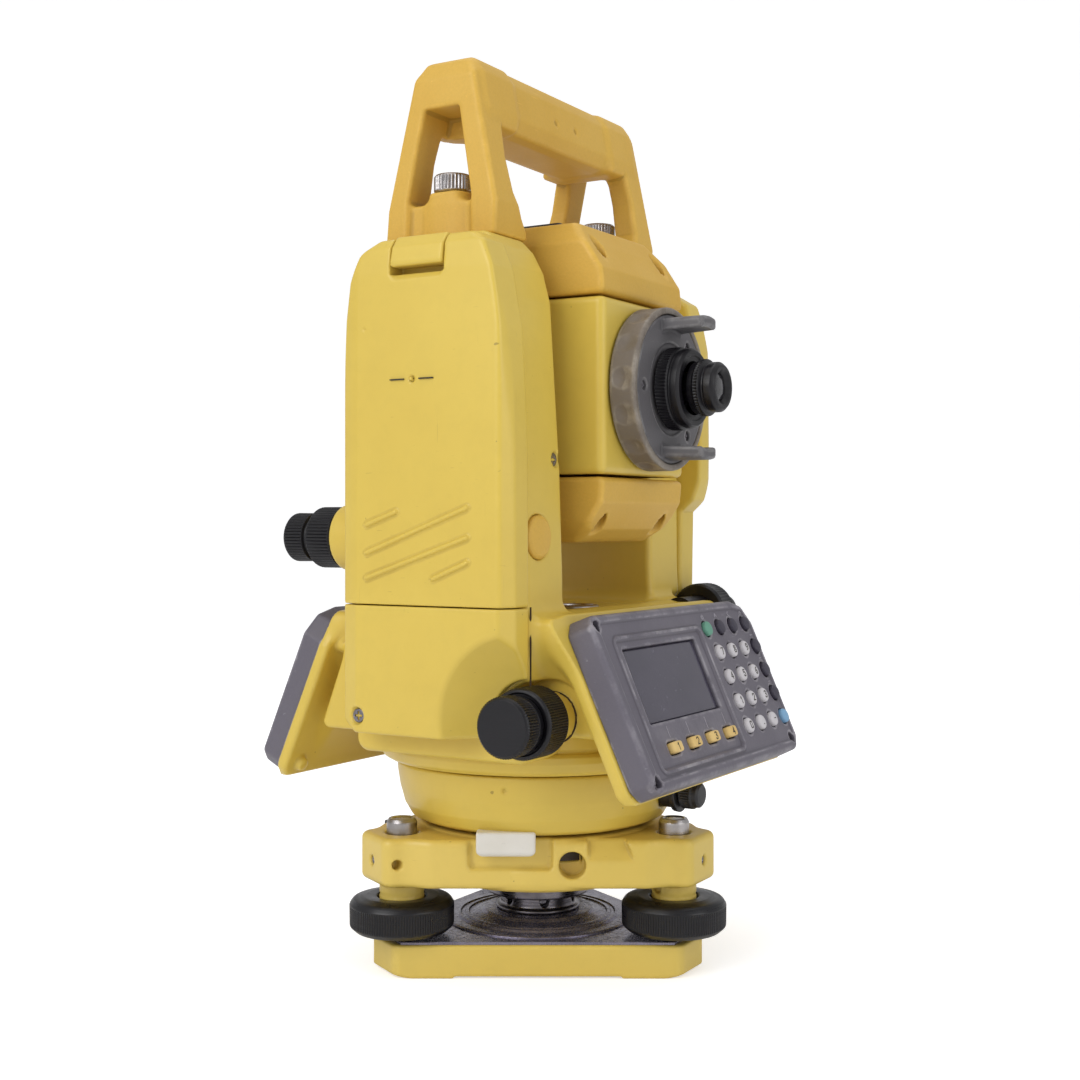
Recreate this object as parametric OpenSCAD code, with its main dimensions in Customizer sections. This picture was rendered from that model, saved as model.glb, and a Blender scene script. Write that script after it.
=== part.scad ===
// Surveying total station on its three-screw levelling base.
// +Z is up, the origin is on the vertical axis at the underside of the base plate.
// The telescope tilts about X and its eyepiece points along -Y. Millimetres throughout.

/* [Levelling base] */
// Direction the front edge of the base plate faces, degrees from +X
base_turn = 211; // [0:1:360]
// Thickness of the base plate
plate_t = 12.2; // [8:0.1:18]
// Distance from the axis to the long edges of the base plate
plate_edge = 42; // [34:0.5:50]
// Distance from the axis to the cut corners of the base plate
plate_corner = 64.3; // [58:0.1:72]
// Radius of the circle through the three foot screws
screw_circle = 58.9; // [52:0.1:64]
// Radius of the foot screw knobs
foot_knob_r = 19.6; // [15:0.1:22]
// Radius of the foot screw rods
foot_rod_r = 4; // [3:0.1:5]
// Radius of the rounded ends of the tribrach arms
arm_r = 12.5; // [10:0.1:14]
// Underside of the tribrach arms
arm_z0 = 31.5; // [30:0.1:34]
// Top of the tribrach arms
arm_z1 = 52.2; // [50:0.1:53]
// Half of the levelling travel
lift = 3; // [1:0.5:3]
// Radius of the tripod thread wall, 5/8 inch 11 UNC minor diameter
thread_r = 6.75; // [6.5:0.01:7.94]

/* [Instrument base] */
// Largest radius of the fixed drum
drum_r = 55; // [50:0.5:60]
// Underside of the drum
drum_z0 = 53.4; // [53:0.1:54]
// Top of the drum
drum_z1 = 76; // [74:0.5:76]
// Radius of the turning skirt
skirt_r = 62; // [58:0.5:64]
// Radius of the vertical spindle
spindle_r = 12; // [9:0.5:14]

/* [Alidade] */
// Height of the telescope tilt axis
tilt_z = 217.5; // [200:0.5:230]
// Distance from the axis to the outer seam of both standards
seam_x = 70; // [66:0.5:74]
// Distance from the axis to the inner face of the near standard
near_in = 44; // [40:0.5:48]
// Distance from the axis to the inner face of the far standard
far_in = 43; // [40:0.5:48]
// Height of the floor between the standards
floor_z = 134.7; // [125:0.1:136]
// Top of the standards
top_z = 270; // [262:0.5:274]
// Outer face of the battery and of the lower cover
batt_x = 85.5; // [80:0.5:90]
// Outer face of the far cover
cover_x = 84; // [80:0.5:88]
// Height of the split between battery and lower cover
batt_z = 138.6; // [130:0.1:145]

/* [Panels] */
// Lean of the keyboard panels from vertical, degrees
panel_lean = 23.7; // [10:0.1:40]
// Distance from the axis to the top edge of the panel seat
panel_top_y = 50.3; // [45:0.1:55]
// Thickness of the keyboard housing
panel_t = 6.5; // [5:0.1:9]
// Distance the housing reaches behind the seat line
panel_back = 3.6; // [0:0.1:6]
// Distance from the centre to the display end of the housing, at its top
panel_left = 62; // [55:0.1:75]
// The same distance at its bottom
panel_left_low = 60; // [55:0.1:75]
// Distance from the centre to the key end of the housing
panel_right = 70.8; // [65:0.1:78]
// Length of the housing down the slope
panel_len = 66.5; // [55:0.5:70]
// Radius of the round keys
key_r = 3.3; // [2:0.1:4]
// Column pitch of the round keys
key_dx = 11.8; // [9:0.1:12]
// Row pitch of the round keys
key_dy = 10.1; // [8:0.1:11]
// Height of a key above the housing
key_h = 1; // [0.6:0.1:1.5]

/* [Telescope] */
// Half width of the telescope body
scope_w = 33.5; // [28:0.5:35]
// Front face of the telescope body, behind the focusing ring
scope_y0 = -47.5; // [-55:0.5:-40]
// Rear face of the telescope body, at the objective
scope_y1 = 50; // [40:0.5:55]
// Half height of the metal body
scope_h = 32.5; // [28:0.5:36]
// Radius of the objective mount
objective_r = 27; // [22:0.5:30]
// Radius of the focusing ring
focus_r = 30.6; // [27:0.1:32]
// Radius of the eyepiece mount ring
mount_ring_r = 15.5; // [12:0.5:18]
// Radius of the eyepiece
eyepiece_r = 9.2; // [7:0.1:11]
// Radius of the tilt axles
axle_r = 10; // [7:0.5:12]

/* [Controls] */
// Radius of the horizontal clamp ring
h_clamp_r = 12.3; // [10:0.1:13]
// Radius of the horizontal tangent knob
h_knob_r = 10.5; // [8:0.1:12]
// Radius of the vertical clamp ring
v_clamp_r = 11.5; // [9:0.1:13]
// Radius of the vertical tangent knob
v_knob_r = 9.3; // [7:0.1:11]
// Radius of the plummet focusing ring
plummet_r = 12; // [9:0.1:12.5]
// Radial running clearance of every turning part
play = 0.05; // [0.02:0.01:0.1]

/* [Handle] */
// Top of the grip bar
handle_top = 335; // [325:0.5:340]
// Underside of the grip bar
bar_low = 311; // [305:0.5:318]
// Outer face of the near handle frame
handle_near = 63; // [58:0.5:68]
// Outer face of the far handle frame
handle_far = 61; // [58:0.5:68]
// Thickness of the handle frames at the top
frame_t = 13; // [9:0.5:16]
// Distance of both thumb screws from the axis
thumb_x = 55; // [50:0.5:58]

/* [Output] */
// Node to draw, or all

/* [Hidden] */
$fn = 64;
eps = 0.2;
yellow = [0.86, 0.74, 0.36];
amber = [0.80, 0.60, 0.22];
grey = [0.40, 0.39, 0.42];
taupe = [0.50, 0.48, 0.44];
black = [0.07, 0.07, 0.08];
steel = [0.70, 0.70, 0.68];
glass = [0.55, 0.65, 0.72];
white = [0.88, 0.87, 0.82];
foot_dirs = [base_turn - 60, base_turn + 60, base_turn + 180];
seat_z = 42;
panel_screws = [[-57, -5.6], [-55.6, -61.8], [65.5, -61.2]];
cap_z = 57;
lock_r = 41.9;
lever_dir = 110;
hk_y = -40.2;
hk_z = 99.5;
vk_x = -60;
vk_z = 162;
pl_y = -37.8;
pl_z = 130;
near_screw = [-thumb_x, 3];
far_screw = [thumb_x, 3];
key_x0 = 30;
key_y0 = -21.8;

// Helpers

module rod_x(r, x0, x1, y = 0, z = 0) {
    translate([x0, y, z])
        rotate([0, 90, 0])
            cylinder(r = r, h = x1 - x0);
}

module rod_y(r, y0, y1, x = 0, z = 0) {
    translate([x, y1, z])
        rotate([90, 0, 0])
            cylinder(r = r, h = y1 - y0);
}

module rod_z(r, z0, z1, x = 0, y = 0) {
    translate([x, y, z0])
        cylinder(r = r, h = z1 - z0);
}

module block(x0, x1, y0, y1, z0, z1) {
    translate([x0, y0, z0])
        cube([x1 - x0, y1 - y0, z1 - z0]);
}

// Extrudes a (Y, Z) outline along X
module slab_x(x0, x1) {
    translate([x0, 0, 0])
        rotate([90, 0, 90])
            linear_extrude(height = x1 - x0)
                children();
}

// Extrudes an (X, Z) outline along Y
module slab_y(y0, y1) {
    translate([0, y1, 0])
        rotate([90, 0, 0])
            linear_extrude(height = y1 - y0)
                children();
}

module slab_z(z0, z1) {
    translate([0, 0, z0])
        linear_extrude(height = z1 - z0)
            children();
}

// Rectangle with cut corners
module cut_rect(x0, x1, y0, y1, c) {
    polygon([[x0 + c, y0], [x1 - c, y0], [x1, y0 + c], [x1, y1 - c],
        [x1 - c, y1], [x0 + c, y1], [x0, y1 - c], [x0, y0 + c]]);
}

// Triangle with cut corners: a to the long edges, b to the short ones
module triangle_plan(a, b) {
    y1 = (b - a / 2) / sin(60);
    rv = sqrt(a * a + y1 * y1);
    al = atan2(y1, a);
    polygon([for (k = [0:2]) for (s = [-1, 1]) rv * [cos(120 * k + s * al), sin(120 * k + s * al)]]);
}

// Ring of grip flutes cut along the local Z axis
module flutes(r, depth, width, z0, z1, count) {
    for (k = [0:count - 1])
        rotate([0, 0, 360 * k / count])
            translate([r + width - depth, 0, z0])
                cylinder(r = width, h = z1 - z0);
}

// Carries children to each foot screw
module at_feet() {
    for (a = foot_dirs)
        rotate([0, 0, a])
            translate([screw_circle, 0, 0])
                children();
}

module base_frame() {
    rotate([0, 0, base_turn])
        children();
}

// Carries children onto the panel seat: x across, y up the slope, z out of the face
module panel_frame(side) {
    rotate([0, 0, side])
        translate([0, -panel_top_y, floor_z])
            rotate([90 - panel_lean, 0, 0])
                children();
}

// Levelling base

module base_plate() {
    color(yellow)
        difference() {
            base_frame() {
                slab_z(2.2, plate_t)
                    triangle_plan(plate_edge, plate_corner);
                slab_z(0, 2.2)
                    triangle_plan(plate_edge - 2, plate_corner - 2);
            }
            base_frame()
                for (k = [0:2])
                    rotate([0, 0, 120 * k])
                        block(plate_edge - 12, plate_edge + 2, -37, 37, -1, 0.9);
            rod_z(17, -1, plate_t + 1);
            at_feet() {
                translate([0, 0, 9])
                    sphere(r = 5 + play);
                rod_z(5 + play, 9, plate_t + 1);
            }
        }
}

module thread_post() {
    color(steel)
        difference() {
            union() {
                rod_z(17, 0, plate_t);
                rod_z(14.8, plate_t - 1, 26);
                rod_z(18.7, 25, 28.2);
                rod_z(17.2, 28.2, 28.5);
            }
            rod_z(thread_r, -1, 18);
            rod_z(5, 17, 29);
            for (k = [0:5])
                rotate([0, 0, base_turn + 10 + 60 * k])
                    rod_x(1.7, 10.5, 16, 0, 20.5);
        }
}

module spring_plate() {
    color(steel)
        difference() {
            union() {
                base_frame()
                    slab_z(plate_t, plate_t + 1.3)
                        triangle_plan(plate_edge - 2.5, plate_corner - 2.5);
                rod_z(31, plate_t + 1, plate_t + 2.3);
                rod_z(22, plate_t + 2, plate_t + 3.2);
            }
            rod_z(14.8, plate_t - 1, plate_t + 5);
            difference() {
                rod_z(28.5, plate_t + 1.9, plate_t + 3);
                rod_z(26.5, plate_t + 1, plate_t + 4);
            }
            at_feet()
                rod_z(4.2, plate_t - 1, plate_t + 3);
        }
}

module foot_screw() {
    difference() {
        union() {
            translate([0, 0, 9])
                sphere(r = 5);
            rod_z(3.6, 9, 16.5);
            rod_z(foot_knob_r - 1.2, 15.2, 28);
            rod_z(foot_knob_r, 16.4, 26.8);
        }
        rod_z(8.9, 21.5, 29);
        flutes(foot_knob_r, 0.8, 1.6, 15, 29, 24);
    }
    rod_z(foot_rod_r, 21, 50);
    rod_z(foot_rod_r - 0.8, 50, 51);
}

module place_foot(k) {
    rotate([0, 0, foot_dirs[k]])
        translate([screw_circle, 0, 0])
            foot_screw();
}

module foot_screw_left() {
    color(black)
        place_foot(0);
}

module foot_screw_right() {
    color(black)
        place_foot(1);
}

module foot_screw_back() {
    color(black)
        place_foot(2);
}

// Plan of the three arms
module tribrach_plan() {
    base_frame()
        triangle_plan(46.5, 62);
    for (a = foot_dirs)
        rotate([0, 0, a]) {
            translate([screw_circle, 0])
                circle(r = arm_r);
            translate([screw_circle - 14, -arm_r])
                square([14, 2 * arm_r]);
        }
}

module tribrach_body() {
    color(yellow)
        difference() {
            union() {
                slab_z(arm_z0 + 1.5, arm_z1)
                    circle(r = 47.5);
                slab_z(arm_z0, arm_z1 - 1.2)
                    tribrach_plan();
                at_feet() {
                    rod_z(8.2, arm_z1 - 2, arm_z1);
                    rod_z(8.4, 25.5, arm_z0 + 1);
                }
            }
            rod_z(16, arm_z0 - 1, seat_z + 1);
            rod_z(37, seat_z, arm_z1 + 1);
            rod_z(lock_r + play, 43, 48.5);
            at_feet() {
                rod_z(foot_rod_r + play, 20, 60);
                rod_z(5.75, 46, 60);
                rod_x(1.6, 8, 16, 0, 44.5);
            }
            // notch of the alignment block and the round port beside it
            base_frame() {
                block(40, 60, -22.7, 1.1, 44.5, 60);
                rod_x(5.1, 43.5, 60, 12.3, 43.2);
            }
            // slot swept by the clamp lever
            slab_z(43, 48.5)
                polygon([39 * [cos(lever_dir - 44), sin(lever_dir - 44)],
                    75 * [cos(lever_dir - 44), sin(lever_dir - 44)],
                    80 * [cos(lever_dir - 19), sin(lever_dir - 19)],
                    75 * [cos(lever_dir + 7), sin(lever_dir + 7)],
                    39 * [cos(lever_dir + 7), sin(lever_dir + 7)]]);
        }
}

module tribrach_fittings() {
    color(steel)
        at_feet() {
            difference() {
                union() {
                    rod_z(5.75, 46, cap_z - 0.8);
                    rod_z(5, cap_z - 0.8, cap_z);
                }
                rod_z(4.4, 45, cap_z - 1.6);
            }
            rod_x(1.6, 9, 11.6, 0, 44.5);
        }
}

module clamp_lever() {
    color(steel) {
        difference() {
            rod_z(lock_r, 43.2, 48.3);
            rod_z(37.6, 43, 49);
        }
        rotate([0, 0, lever_dir]) {
            block(lock_r - 2, 58, -3.5, 3.5, 43.6, 47.9);
            rod_z(4.6, 43.6, 47.9, 58, 0);
        }
    }
}

// Fixed instrument base

module lower_base() {
    color(yellow)
        difference() {
            rotate_extrude()
                polygon([[0, drum_z0], [48, drum_z0], [49.3, drum_z0 + 2], [52.5, 63],
                    [drum_r, 69.5], [drum_r, drum_z1], [26, drum_z1], [26, 77], [22, 77],
                    [22, 78.4], [0, 78.4]]);
            rod_z(spindle_r + play, 57, 90);
            rod_z(6, 50, 60);
            base_frame()
                block(43, 60, -22.4, -0.8, 50, 55.6);
            for (k = [0:2])
                rotate([0, 0, base_turn + 120 * k])
                    rod_z(3, 50, 60, 29, 0);
            rod_y(5.5, -60, -43, 5, 65.5);
        }
}

module alignment_block() {
    color(white)
        base_frame() {
            block(43, 50.6, -22.2, -1, 47.6, 55.6);
            block(50.6, 51.4, -20.5, -2.7, 49, 55.6);
        }
}

module base_studs() {
    color(steel)
        for (k = [0:2])
            rotate([0, 0, base_turn + 120 * k]) {
                rod_z(5, seat_z, drum_z0, 29, 0);
                rod_z(3, drum_z0, 59.5, 29, 0);
            }
}

module horizontal_circle() {
    color(glass)
        difference() {
            rod_z(44, 77, 78.4);
            rod_z(22, 76, 79);
        }
}

module serial_connector() {
    color(black)
        difference() {
            union() {
                rod_y(5.5, -60.5, -43.5, 5, 65.5);
                rod_y(7, -60.5, -58, 5, 65.5);
            }
            rod_y(3.6, -61, -50, 5, 65.5);
        }
}

module serial_cap() {
    color(black) {
        rod_y(3.6 - play, -62, -52, 5, 65.5);
        rod_y(5.4, -66.2, -60.9, 5, 65.5);
        rod_y(4.8, -67.6, -66.2, 5, 65.5);
        rod_y(3.8, -68.6, -67.6, 5, 65.5);
    }
}

// Alidade

// Outline of the near standard in (Y, Z)
module near_outline() {
    polygon([[-38, 88], [36, 88], [36, 186], [34, 240], [31, 260], [28, top_z],
        [-20, top_z], [-25, 264], [-29.6, 258], [-32.5, 247], [-36.3, 186], [-37.5, 149]]);
}

// Outline of the far standard in (Y, Z)
module far_outline() {
    polygon([[-31, 88], [33, 88], [31, 186], [30, 250], [26, top_z], [-18, top_z],
        [-24, 262], [-27, 247], [-27.5, 149]]);
}

// Outline of one keyboard housing, x across and y up the slope
module panel_outline(grow = 0) {
    polygon([[-panel_left + 4.5, grow - 0.8], [58, grow - 0.8], [66, grow - 3.5],
        [panel_right + grow, -11.5], [panel_right + grow, -panel_len + 5],
        [panel_right - 4.5, -panel_len - grow], [-panel_left_low + 4, -panel_len - grow],
        [-panel_left_low - grow, -panel_len + 4.5], [-panel_left - grow, -5.5]]);
}

// Wedge that carries one keyboard housing, outline in (Y, Z)
module wedge_outline() {
    polygon([[-30, 87], [-60, 86.5], [-70, 78], [-76, 76], [-panel_top_y, floor_z],
        [-30, floor_z]]);
}

module alidade_solid() {
    rod_z(skirt_r, 77, 86.5);
    rod_z(skirt_r - 3, 86, 90);
    block(-66, 66, -36, 36, 88, floor_z);
    slab_x(-seam_x, -near_in)
        near_outline();
    slab_x(far_in, seam_x)
        far_outline();
    for (side = [0, 180]) {
        rotate([0, 0, side])
            slab_x(-56, 50)
                wedge_outline();
        panel_frame(side)
            slab_z(-panel_back - 5, -panel_back)
                panel_outline(1.8);
    }
    // side web of the near standard below the rear seat
    slab_x(-seam_x, -55)
        polygon([[34, 91.3], [52.8, 91.3], [40.5, 123.5], [34, 123.5]]);
}

module alidade_bores() {
    // turning seat below the skirt, spindle flange and sight line
    rod_z(50, 76, 82);
    rod_z(20, 81, 88);
    rod_z(6, 85, 122);
    // tilt axis
    rod_x(15, -seam_x - 1, -near_in + 1, 0, tilt_z);
    rod_x(15, far_in - 1, 62, 0, tilt_z);
    rod_x(35, 61, seam_x + 1, 0, tilt_z);
    // recess of the horizontal knobs and of the plummet ring
    rod_x(14.5, -95, -56, hk_y, hk_z);
    rod_x(13.2, 62, 95, pl_y, pl_z);
    // room for the keyboard housings
    for (side = [0, 180])
        panel_frame(side)
            slab_z(-panel_back, 12)
                cut_rect(-80, 80, -80, 4, 0.5);
    // board pocket behind the lower cover
    block(-seam_x - 1, -63, -18, 30, 98, 132);
    // flat lower edge of the seats, clear of the serial cap
    block(-90, 90, -90, 90, 60, 71.6);
    // bores opening on the outside
    rod_y(7.8, -41, -33, -61.5, 162.5);
    rod_z(9, 130.5, 140, -5, -20);
    rod_z(3 + play, 254, 275, near_screw[0], near_screw[1]);
    rod_z(3 + play, 254, 275, far_screw[0], far_screw[1]);
    rod_y(2.6, -41, -33.8, -47.5, 190);
}

module alidade_frame() {
    color(yellow)
        difference() {
            union() {
                difference() {
                    alidade_solid();
                    alidade_bores();
                }
                rod_x(8.8, -66, -49, hk_y, hk_z);
                rod_x(7, -78, -65, hk_y, hk_z);
                rod_y(12.5, 35, 47, vk_x, vk_z);
                rod_y(8.5, 46, 59.5, vk_x, vk_z);
                rod_x(9.2, 49, 66, pl_y, pl_z);
            }
            rod_x(4 + play, -79, -38, hk_y, hk_z);
            rod_y(4 + play, 18, 60, vk_x, vk_z);
            rod_x(7, 49, 67, pl_y, pl_z);
            rod_x(4, 38, 50, pl_y, pl_z);
        }
}

module vertical_spindle() {
    color(steel)
        difference() {
            union() {
                rod_z(spindle_r, 58, 83);
                rod_z(20, 82, 88);
            }
            rod_z(6, 50, 90);
        }
}

// Plan of the near covers, rounded towards the outside
module near_plan() {
    polygon([[-seam_x, -41], [-79, -41], [-83.5, -39.5], [-batt_x, -36.3], [-batt_x, 25],
        [-84, 30], [-81, 33], [-76, 34], [-seam_x, 34]]);
}

module lower_cover() {
    color(yellow)
        difference() {
            intersection() {
                slab_x(-batt_x, -seam_x)
                    cut_rect(-41, 34, 93, batt_z - 0.2, 1.5);
                slab_z(90, 145)
                    near_plan();
            }
            translate([-89, -44, 97])
                sphere(r = 31);
            rod_x(16, -95, -60, hk_y, hk_z);
            block(-83, -seam_x + 1, -6, 30, 104, 134);
            rod_x(2.6, -90, -83, 24, 99);
        }
}

module far_cover() {
    color(yellow)
        difference() {
            intersection() {
                slab_x(seam_x, cover_x)
                    polygon([[-29, 93], [32, 93], [36, 98], [36, 236], [33, 252], [24, 266],
                        [-22, 266], [-31, 260], [-36.5, 240], [-38, 200], [-37.5, 186],
                        [-34, 177], [-28.5, 172], [-28, 140]]);
                slab_z(90, 270)
                    polygon([[seam_x, -38], [78, -38], [82, -36], [cover_x, -32],
                        [cover_x, 28], [82, 33], [78, 36], [seam_x, 36]]);
            }
            rod_x(32, seam_x - 1, 80, 0, tilt_z);
            rod_x(13.2, 62, 95, pl_y, pl_z);
        }
}

// Keyboard housings

module key_spots(first, last, row) {
    for (c = [first:last])
        translate([key_x0 + key_dx * c, key_y0 - key_dy * row])
            children();
}

module top_row(first, last) {
    for (c = [first:last])
        translate([27 + 12.1 * c, -11.8])
            children();
}

module function_spots() {
    for (c = [0:3])
        translate([-34 + 15.6 * c, -52.4])
            children();
}

module panel_housing(side) {
    panel_frame(side)
        difference() {
            union() {
                slab_z(-panel_back, panel_t - 1.2)
                    panel_outline();
                slab_z(panel_t - 1.2, panel_t)
                    panel_outline(-1.2);
            }
            slab_z(panel_t - 0.8, panel_t + 1)
                cut_rect(-49.5, 20.8, -60, -10.6, 2);
            slab_z(2.5, panel_t + 1)
                square_window(0);
            slab_z(1.8, panel_t + 1) {
                top_row(0, 3)
                    circle(r = key_r + 0.1);
                for (row = [0:3])
                    key_spots(0, 3, row)
                        circle(r = key_r + 0.1);
                function_spots()
                    cut_rect(-4.9, 4.9, -2.6, 2.6, 1);
            }
            for (p = panel_screws)
                translate([p[0], p[1], panel_t - 2.2])
                    cylinder(r = 2.2, h = 4);
        }
}

module square_window(gap) {
    translate([-45 + gap, -43 + gap])
        square([60 - 2 * gap, 29 - 2 * gap]);
}

module front_panel() {
    color(grey)
        difference() {
            panel_housing(0);
            rod_x(13.2, 60, 95, pl_y, pl_z);
        }
}

module rear_panel() {
    color(grey)
        panel_housing(180);
}

module display_glass(side) {
    panel_frame(side)
        slab_z(2.5, panel_t - 1.3)
            square_window(0.1);
}

module front_display() {
    color(glass)
        display_glass(0);
}

module rear_display() {
    color(glass)
        display_glass(180);
}

module key_body(side) {
    panel_frame(side)
        slab_z(3.2, panel_t + key_h)
            children();
}

module power_key() {
    color([0.25, 0.62, 0.45])
        key_body(0)
            top_row(0, 0)
                circle(r = key_r);
}

module number_keys() {
    color(white)
        key_body(0)
            for (row = [0:3])
                key_spots(0, 2, row)
                    circle(r = key_r);
}

module menu_keys() {
    color([0.2, 0.2, 0.24])
        key_body(0) {
            top_row(1, 3)
                circle(r = key_r);
            for (row = [0:2])
                key_spots(3, 3, row)
                    circle(r = key_r);
        }
}

module enter_key() {
    color([0.30, 0.52, 0.75])
        key_body(0)
            key_spots(3, 3, 3)
                circle(r = key_r);
}

module function_keys() {
    color(amber)
        key_body(0)
            function_spots()
                cut_rect(-4.7, 4.7, -2.4, 2.4, 0.9);
}

module rear_keys() {
    color(white)
        key_body(180) {
            top_row(0, 3)
                circle(r = key_r);
            for (row = [0:3])
                key_spots(0, 3, row)
                    circle(r = key_r);
        }
}

module rear_function_keys() {
    color(amber)
        key_body(180)
            function_spots()
                cut_rect(-4.7, 4.7, -2.4, 2.4, 0.9);
}

// Small fixed parts of the alidade

module circuit_board() {
    color([0.1, 0.35, 0.2]) {
        block(-68, -66.4, -17, 29, 99, 131);
        block(-66.4, -64.4, -8, 6, 106, 120);
        block(-66.4, -63.8, 12, 24, 104, 110);
        block(-69.4, -68, -2, 10, 122, 128);
    }
}

module tilt_bearings() {
    color(steel) {
        difference() {
            rod_x(15, -62, -near_in, 0, tilt_z);
            rod_x(axle_r + play, -63, -near_in + 1, 0, tilt_z);
        }
        difference() {
            rod_x(15, far_in, 61, 0, tilt_z);
            rod_x(axle_r + play, far_in - 1, 62, 0, tilt_z);
        }
    }
}

module circular_level() {
    color(steel)
        difference() {
            rod_z(9, 130.5, 136.2, -5, -20);
            rod_z(6.5, 135, 137, -5, -20);
        }
    color(glass)
        rod_z(6.5, 135, 135.9, -5, -20);
}

module access_plug() {
    color(amber) {
        rod_y(7.8, -37.6, -33, -61.5, 162.5);
        rod_y(7, -38.6, -37.6, -61.5, 162.5);
    }
}

module fixing_screws() {
    color(steel) {
        difference() {
            rod_x(2.6, -batt_x, -83, 24, 99);
            block(-batt_x - 1, -batt_x + 0.8, 21, 27, 98.6, 99.4);
        }
        difference() {
            rod_y(2.6, -36, -33.8, -47.5, 190);
            block(-51, -44, -37, -35.2, 189.6, 190.4);
        }
        for (side = [0, 180])
            for (p = panel_screws)
                panel_frame(side)
                    translate([p[0], p[1], panel_t - 2.2])
                        cylinder(r = 2.2, h = 1.6);
    }
}

// Optical plummet

module plummet_barrel() {
    color(black)
        difference() {
            union() {
                rod_x(4, 40, 49, pl_y, pl_z);
                rod_x(7, 49, 78.4, pl_y, pl_z);
            }
            rod_x(5 + play, 62, 79, pl_y, pl_z);
            rod_x(2.5, 39, 63, pl_y, pl_z);
        }
}

module plummet_focus_ring() {
    color(black)
        difference() {
            translate([0, pl_y, pl_z])
                rotate([0, 90, 0])
                    difference() {
                        rod_z(plummet_r, 66.5, 78.2);
                        flutes(plummet_r, 0.5, 1.1, 67.5, 77.2, 20);
                    }
            rod_x(7 + play, 66, 79, pl_y, pl_z);
        }
}

module plummet_eyepiece() {
    color(black)
        difference() {
            union() {
                rod_x(5, 66, 79.5, pl_y, pl_z);
                rod_x(8, 78.8, 88, pl_y, pl_z);
                rod_x(6.6, 88, 93, pl_y, pl_z);
            }
            rod_x(4, 90.5, 94, pl_y, pl_z);
        }
}

// Clamp rings and tangent knobs

module horizontal_clamp() {
    color(black)
        difference() {
            translate([0, hk_y, hk_z])
                rotate([0, -90, 0])
                    difference() {
                        rod_z(h_clamp_r, 66.2, 79);
                        flutes(h_clamp_r, 0.6, 1.2, 67.4, 77.8, 20);
                    }
            rod_x(7 + play, -80, -65, hk_y, hk_z);
        }
}

module horizontal_tangent() {
    color(black)
        translate([0, hk_y, hk_z])
            rotate([0, -90, 0]) {
                difference() {
                    union() {
                        rod_z(h_knob_r - 1.5, 79.4, 82);
                        rod_z(h_knob_r, 81.5, 89.7);
                        rod_z(h_knob_r - 0.6, 89.7, 90.5);
                    }
                    flutes(h_knob_r, 0.6, 1.2, 82.5, 88.8, 18);
                }
                rod_z(4, 40, 80);
            }
}

module vertical_clamp() {
    color(black)
        difference() {
            translate([vk_x, 0, vk_z])
                rotate([-90, 0, 0])
                    difference() {
                        rod_z(v_clamp_r, 47.4, 59.4);
                        flutes(v_clamp_r, 0.6, 1.2, 48.6, 58.2, 20);
                    }
            rod_y(8.5 + play, 46, 61, vk_x, vk_z);
        }
}

module vertical_tangent() {
    color(black)
        translate([vk_x, 0, vk_z])
            rotate([-90, 0, 0]) {
                difference() {
                    union() {
                        rod_z(v_knob_r - 1.5, 60, 62.5);
                        rod_z(v_knob_r, 62, 71);
                        rod_z(v_knob_r - 1, 71, 72);
                    }
                    flutes(v_knob_r, 0.5, 1.1, 63, 70, 18);
                }
                rod_z(4, 22, 61);
            }
}

// Battery

module rib(y0, z0, y1, z1) {
    translate([-batt_x - 0.5, y0, z0])
        rotate([atan2(z1 - z0, y1 - y0), 0, 0])
            block(0, 1.5, 0, norm([y1 - y0, z1 - z0]), -1, 1);
}

module battery_pack() {
    color(yellow) {
        difference() {
            intersection() {
                slab_x(-batt_x, -seam_x)
                    polygon([[-41, batt_z + 0.2], [34, batt_z + 0.2], [34, 205], [31, 240],
                        [28, 254], [23, 263], [16, 268], [-24, 268], [-29, 264], [-33, 254],
                        [-36.5, 235], [-39.5, 195]]);
                slab_z(135, 270)
                    near_plan();
            }
            block(-90, -77, -13, 9.5, 254.5, 270);
            rod_x(0.8, -90, -batt_x + 1, 0, tilt_z);
            for (s = [-1, 1])
                block(-90, -batt_x + 0.4, 5.5 * s - 3.5, 5.5 * s + 3.5, tilt_z - 0.4, tilt_z + 0.4);
        }
        rib(-14, 164, 25, 156);
        rib(-14, 171, 25, 163);
        rib(13, 172, 25, 169.5);
        rib(-14, 157.5, -2, 155);
    }
}

module battery_latch() {
    color(yellow)
        difference() {
            block(-batt_x, -77.1, -12.8, 9.3, 257, 268);
            block(-90, -batt_x + 0.8, -10, 6.5, 262, 263.4);
        }
}

// Telescope

module telescope_body() {
    color(yellow)
        translate([0, 0, tilt_z])
            difference() {
                union() {
                    intersection() {
                        slab_x(-scope_w, scope_w)
                            cut_rect(scope_y0, scope_y1, -scope_h, scope_h, 2);
                        slab_z(-40, 40)
                            cut_rect(-scope_w, scope_w, scope_y0, scope_y1, 2.5);
                    }
                    rod_y(25, -55, scope_y0 + 1);
                    rod_y(10, -68.4, -50);
                }
                rod_y(13, -44, scope_y1 + 1);
                rod_y(20, 38, scope_y1 + 1);
                rod_y(6 + play, -70, -40);
                rod_x(axle_r, -40, -22);
                rod_x(axle_r, 22, 40);
            }
}

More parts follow.
